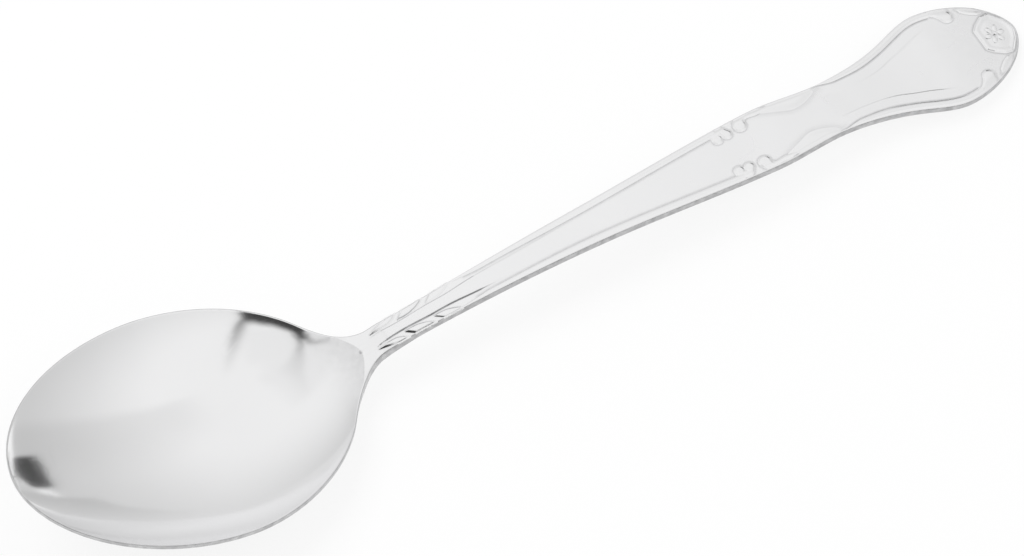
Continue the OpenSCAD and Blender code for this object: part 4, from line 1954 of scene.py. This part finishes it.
@dataclass(frozen=True)
class Tent:
    """Light tent that the steel mirrors: bright overhead, greyer low down, and open to a dark room.

    Directions are given in degrees: azimuth from the handle's side of the X axis, and elevation. The post
    on the left goes by elevation, and the one on the right by azimuth. The card's top has an azimuth, an
    elevation and a tone at each station. The radius is in metres.
    """

    radius: float = 1.5
    rings: int = 121
    segments: int = 360
    low_tone: float = 0.635
    top_tone: float = 0.91
    brighten: Span = (-2.0, 58.0)
    lit_side_at: float = 68.0
    lit_side_spread: float = 28.0
    lit_side_gain: float = 0.11
    fold_shade: float = 0.1
    fold_in: Span = (-7.0, 3.0)
    fold_out: Span = (8.0, 24.0)
    fold_lean: float = 0.5
    fold_top: Span = (55.0, 75.0)
    back_shade: float = 0.05
    back_in: Span = (100.0, 118.0)
    back_out: Span = (240.0, 258.0)
    back_low: Span = (56.0, 62.0)
    back_high: Span = (80.0, 88.0)
    room_tone: float = 0.06
    opening_in: Span = (-172.0, -162.0)
    opening_out: Span = (-114.0, -108.0)
    opening_top: Stations = (
        (-165, 61.5), (-159, 60), (-151, 56), (-141, 55), (-132, 53.3), (-125, 53.5), (-118, 51.7),
        (-112, 52),
    )
    opening_soft: Stations = ((-165, 2), (-150, 4))
    left_post: Stations = (
        (44, -115), (48, -113), (52, -109), (59, -104), (65, -99.5), (72, -92), (78, -76), (82, -49),
    )
    left_post_shade: Stations = (
        (44, 0), (48, 0.85), (52, 0.75), (59, 0.58), (65, 0.43), (72, 0.24), (78, 0.13), (84, 0),
    )
    left_post_soft: Span = (6.0, 3.0)
    right_post_from: float = 100.0
    right_post: Stations = (
        (114, 61), (122, 65), (135, 69), (149, 70), (161, 70), (175, 69), (183, 66.9), (191, 63.3),
        (199, 61), (206, 58.5),
    )
    right_post_shade: Stations = (
        (112, 0.02), (122, 0.06), (135, 0.12), (149, 0.17), (161, 0.22), (175, 0.34), (183, 0.52),
        (191, 0.68), (199, 0.85), (206, 0.85), (209, 0),
    )
    right_post_soft: float = 2.0
    right_post_tail: Stations = ((150, 11), (175, 5), (192, 5), (200, 3))
    front_shade: float = 0.8
    front_in: Span = (-116.0, -108.0)
    front_out: Span = (-50.0, -30.0)
    front_top: Stations = ((-116, 37), (-30, -6))
    front_soft: float = 6.0
    flag_corners: Stations = (
        (13.2, -1.0), (13.4, 3.2), (13.9, 5.2), (17.4, 4.9), (21.6, 3.1), (25.3, 1.2), (26.0, -1.6),
        (25.8, -3.3), (22.6, -3.1), (19.0, -2.4),
    )
    flag_tone: float = 0.05
    flag_distance: float = 250.0
    card_top: Sequence[tuple[float, float, float]] = (
        (12.0, -2.6, 0.66), (20.0, -3.4, 0.68), (26.2, -3.6, 0.6), (26.5, 0.3, 0.52), (30.0, 0.3, 0.6),
        (34.5, 0.3, 0.68), (39.0, 0.3, 0.75), (55.0, 0.3, 0.77), (80.0, 0.3, 0.75),
    )
    card_low: float = -11.9
    card_distance: float = 80.0
    seen_from: Point = (-86.5, 2.5, 17.0)

    def cloth(self, azimuth: np.ndarray, elevation: np.ndarray) -> np.ndarray:
        """Brightness of the tent's cloth: its even rise, the lit side, a fold and a greyer back.

        Args:
            azimuth: azimuths of places on the tent.
            elevation: their elevations.

        Returns:
            The tones, from 0 to 1.
        """
        share = smooth_step(*self.brighten, elevation)
        tone = self.low_tone + (self.top_tone - self.low_tone) * share
        off_side = (azimuth - self.lit_side_at) / self.lit_side_spread
        tone += self.lit_side_gain * (1 - share) * np.exp(-(off_side**2))
        fold_end = self.fold_out[1] + self.fold_lean * elevation
        fold = window(self.fold_in, (self.fold_out[0], fold_end), azimuth)
        fold *= 1 - smooth_step(*self.fold_top, elevation)
        back = window(self.back_in, self.back_out, azimuth % 360)
        back *= window(self.back_low, self.back_high, elevation)
        return tone * (1 - self.fold_shade * fold - self.back_shade * back)

    def opening(self, azimuth: np.ndarray, elevation: np.ndarray) -> np.ndarray:
        """Shade of the opening to the room, of its two soft posts, and of the low front of the tent.

        Args:
            azimuth: azimuths of places on the tent.
            elevation: their elevations.

        Returns:
            The shades, from 0 to 1.
        """
        turned = azimuth % 360
        top, soft = (broken_line(line, azimuth) for line in (self.opening_top, self.opening_soft))
        gap = 1 - smooth_step(top - soft, top + soft, elevation)
        gap *= window(self.opening_in, self.opening_out, azimuth)
        off = (azimuth - broken_line(self.left_post, elevation)) * np.cos(np.radians(elevation))
        left = soft_band(off, *self.left_post_soft) * broken_line(self.left_post_shade, elevation)
        off = elevation - broken_line(self.right_post, turned)
        right = soft_band(off, self.right_post_soft, broken_line(self.right_post_tail, turned))
        right *= broken_line(self.right_post_shade, turned) * (turned > self.right_post_from)
        top = broken_line(self.front_top, azimuth)
        front = self.front_shade * (1 - smooth_step(top - self.front_soft, top, elevation))
        front *= window(self.front_in, self.front_out, azimuth)
        return np.max([gap, left, right, front], axis=0)

    @staticmethod
    def _backdrop(name: str, mesh: bpy.types.Mesh) -> None:
        """Put a mesh into the scene that only the mirror sees, as bright as its glow values say.

        Args:
            name: name of the backdrop.
            mesh: its mesh.
        """
        backdrop = bpy.data.objects.new(name, mesh)
        bpy.context.scene.collection.objects.link(backdrop)
        material = bpy.data.materials.new(name)
        material.use_nodes = True
        graph = empty_graph(material.node_tree)
        tone = graph.add("ShaderNodeAttribute", attribute_name="glow").outputs["Fac"]
        glow = graph.add("ShaderNodeEmission", {"Strength": tone})
        graph.add("ShaderNodeOutputMaterial", {"Surface": glow.outputs[0]})
        mesh.materials.append(material)
        backdrop.visible_camera = False
        backdrop.visible_diffuse = False
        backdrop.visible_shadow = False

    @staticmethod
    def _toward(azimuth: np.ndarray, elevation: np.ndarray) -> np.ndarray:
        """Unit vectors in directions given in degrees."""
        turn, lift = np.radians(azimuth), np.radians(elevation)
        return np.stack([np.cos(lift) * np.cos(turn), np.cos(lift) * np.sin(turn), np.sin(lift)], axis=-1)

    def build(self) -> None:
        """Build the tent, and the dark flag and the grey card that stand past the handle."""
        azimuth, elevation = np.meshgrid(
            np.linspace(-180, 180, self.segments, endpoint=False), np.linspace(0, 90, self.rings)
        )
        points = self._toward(azimuth, elevation).reshape(-1, 3) * self.radius
        ids = np.arange(azimuth.size).reshape(self.rings, self.segments)
        after = np.roll(ids, -1, axis=1)
        faces = np.stack([ids[:-1], ids[1:], after[1:], after[:-1]], axis=-1).reshape(-1, 4)
        mesh = bpy.data.meshes.new("light_tent")
        mesh.from_pydata(points.tolist(), [], faces.tolist())
        shade = (1 - self.room_tone) * self.opening(azimuth, elevation)
        set_mask(mesh, "glow", (self.cloth(azimuth, elevation) * (1 - shade)).ravel())
        self._backdrop("light_tent", mesh)
        self._flag()
        self._card()

    def _flag(self) -> None:
        """Stand the dark flag up past the handle."""
        corners = np.array(self.flag_corners, float).T
        count = corners.shape[1]
        faces = [tuple(range(count))]
        self._screen("dark_flag", corners, self.flag_distance, faces, np.full(count, self.flag_tone))

    def _card(self) -> None:
        """Stand the grey card up past the handle."""
        places, high, tones = np.array(self.card_top).T
        count = len(places)
        corners = np.array([np.tile(places, 2), np.append(np.full(count, self.card_low), high)])
        faces = [(i, i + 1, i + 1 + count, i + count) for i in range(count - 1)]
        self._screen("grey_card", corners, self.card_distance, faces, np.tile(tones, 2))

    def _screen(
        self,
        name: str,
        corners: np.ndarray,
        distance: float,
        faces: list[tuple[int, ...]],
        tones: np.ndarray,
    ) -> None:
        """Stand a small screen beside the spoon, as seen from the bowl's tip.

        Args:
            name: name of the screen.
            corners: azimuths and elevations of its corners.
            distance: how far away it stands.
            faces: its faces.
            tones: brightness at its corners.
        """
        points = np.array(self.seen_from) + distance * self._toward(*corners)
        mesh = bpy.data.meshes.new(name)
        mesh.from_pydata((points * MM).tolist(), [], faces)
        set_mask(mesh, "glow", tones)
        self._backdrop(name, mesh)


@dataclass(frozen=True)
class SoftLamp:
    """Square soft lamp that points at the spoon, with lengths in metres and its power in watts."""

    name: str
    place: Point
    size: float
    power: float

    def build(self) -> None:
        """Make the lamp."""
        data = bpy.data.lights.new(self.name, "AREA")
        data.size = self.size
        data.energy = self.power
        lamp = bpy.data.objects.new(self.name, data)
        lamp.location = self.place
        lamp.rotation_euler = (-Vector(self.place)).to_track_quat("-Z", "Y").to_euler()
        lamp.visible_glossy = False
        bpy.context.scene.collection.objects.link(lamp)


@dataclass(frozen=True)
class Studio:
    """White floor and surround, with soft lamps. Lengths are in metres."""

    floor_size: float = 4.0
    floor_drop: float = 0.00002
    floor_paint: Colour = (0.9, 0.9, 0.9)
    floor_glow: float = 0.8
    surround: float = 0.75
    lamps: Sequence[SoftLamp] = (
        SoftLamp("key_lamp", (-0.3, 0.5, 0.9), size=0.7, power=4.0),
        SoftLamp("fill_lamp", (0.6, -0.3, 0.8), size=0.6, power=1.5),
    )

    def floor(self) -> None:
        """Make the floor: white to the camera and in mirrors, and darker only where the spoon shades it."""
        half = self.floor_size / 2
        corners = [(-half, -half), (half, -half), (half, half), (-half, half)]
        mesh = bpy.data.meshes.new("floor")
        mesh.from_pydata([(x, y, -self.floor_drop) for x, y in corners], [], [(0, 1, 2, 3)])
        floor = bpy.data.objects.new("floor", mesh)
        bpy.context.scene.collection.objects.link(floor)
        material = bpy.data.materials.new("white_floor")
        material.use_nodes = True
        graph = empty_graph(material.node_tree)
        paint = graph.add("ShaderNodeBsdfDiffuse", {"Color": (*self.floor_paint, 1)})
        glow = graph.add("ShaderNodeEmission", {"Color": WHITE, "Strength": 1.0})
        share = graph.math("MULTIPLY", self._seen(graph), self.floor_glow)
        mixed = graph.add("ShaderNodeMixShader", {0: share, 1: paint.outputs[0], 2: glow.outputs[0]})
        clear = graph.add("ShaderNodeBsdfTransparent")
        under = graph.add("ShaderNodeNewGeometry").outputs["Backfacing"]
        whole = graph.add("ShaderNodeMixShader", {0: under, 1: mixed.outputs[0], 2: clear.outputs[0]})
        graph.add("ShaderNodeOutputMaterial", {"Surface": whole.outputs[0]})
        mesh.materials.append(material)

    @staticmethod
    def _seen(graph: NodeGraph) -> bpy.types.NodeSocket:
        """Share that is 1 for what the camera sees, also in a mirror, and 0 for what lights the scene.

        Args:
            graph: nodes of the material or the world.

        Returns:
            The share.
        """
        path = graph.add("ShaderNodeLightPath")
        mirror = graph.math("MAXIMUM", path.outputs["Is Glossy Ray"], path.outputs["Is Transmission Ray"])
        return graph.math("MAXIMUM", path.outputs["Is Camera Ray"], mirror)

    def world(self) -> None:
        """Make the surround: white where it is seen, and softer where it lights the scene."""
        world = bpy.data.worlds.new("white_surround")
        world.use_nodes = True
        bpy.context.scene.world = world
        graph = empty_graph(world.node_tree)
        shown = graph.add("ShaderNodeBackground", {"Color": WHITE, "Strength": 1.0})
        light = graph.add("ShaderNodeBackground", {"Color": WHITE, "Strength": self.surround})
        seen = self._seen(graph)
        mixed = graph.add("ShaderNodeMixShader", {0: seen, 1: light.outputs[0], 2: shown.outputs[0]})
        graph.add("ShaderNodeOutputWorld", {"Surface": mixed.outputs[0]})

    def build(self) -> None:
        """Build the studio."""
        self.floor()
        self.world()
        Tent().build()
        for lamp in self.lamps:
            lamp.build()
        bpy.context.scene.view_settings.view_transform = "Standard"


def main() -> None:
    """Build the spoon's classes in order, then the studio."""
    logging.basicConfig(level=logging.INFO, format="%(name)s: %(message)s")
    form = SpoonForm.from_frame()
    waist, end, borders = WaistOrnament(form), EndOrnament(form), Borders(form)
    medallion = Medallion(form)
    leaves = NeckLeaves(form)
    # Lines and zones where shade is painted into the face: at the feet of the ornament, along the panel's
    # step and the heel's spot, and broad over the heel and the handle's end
    shade_lines = (
        ShadeLine(waist.lobe_distance, depth=0.45, reach=0.2),
        ShadeLine(waist.hook_distance, depth=0.5, reach=0.2),
        ShadeLine(waist.leaf_distance, depth=0.17, reach=0.6),
        ShadeLine(end.hook_distance, depth=0.4, reach=0.22),
        ShadeLine(end.leaf_distance, depth=0.35, reach=0.22),
        ShadeLine(borders.stem_line, depth=0.4, reach=0.3),
        ShadeLine(borders.end_line, depth=0.7, reach=0.24),
        ShadeLine(medallion.distance, depth=0.65, reach=0.25),
        # Broad painted shade over the handle's end, darker towards the medallion
        ShadeLine(medallion.distance, depth=0.09, reach=7.0),
        ShadeLine(leaves.distance, depth=0.15, reach=0.12),
        ShadeLine(form.heel_shade_mark, depth=0.8, reach=0.16),
        # Broad painted shade inside the heel of the dish
        ShadeLine(form.heel_zone, depth=0.3, reach=4.5),
        ShadeLine(form.panel_wall, depth=0.85, reach=0.1),
    )
    Blank(form, shade_lines).build()
    for ornament in (leaves, borders, waist, end, medallion):
        ornament.build()
    PhotoCamera().build()
    Studio().build()


if __name__ == "__main__":
    main()
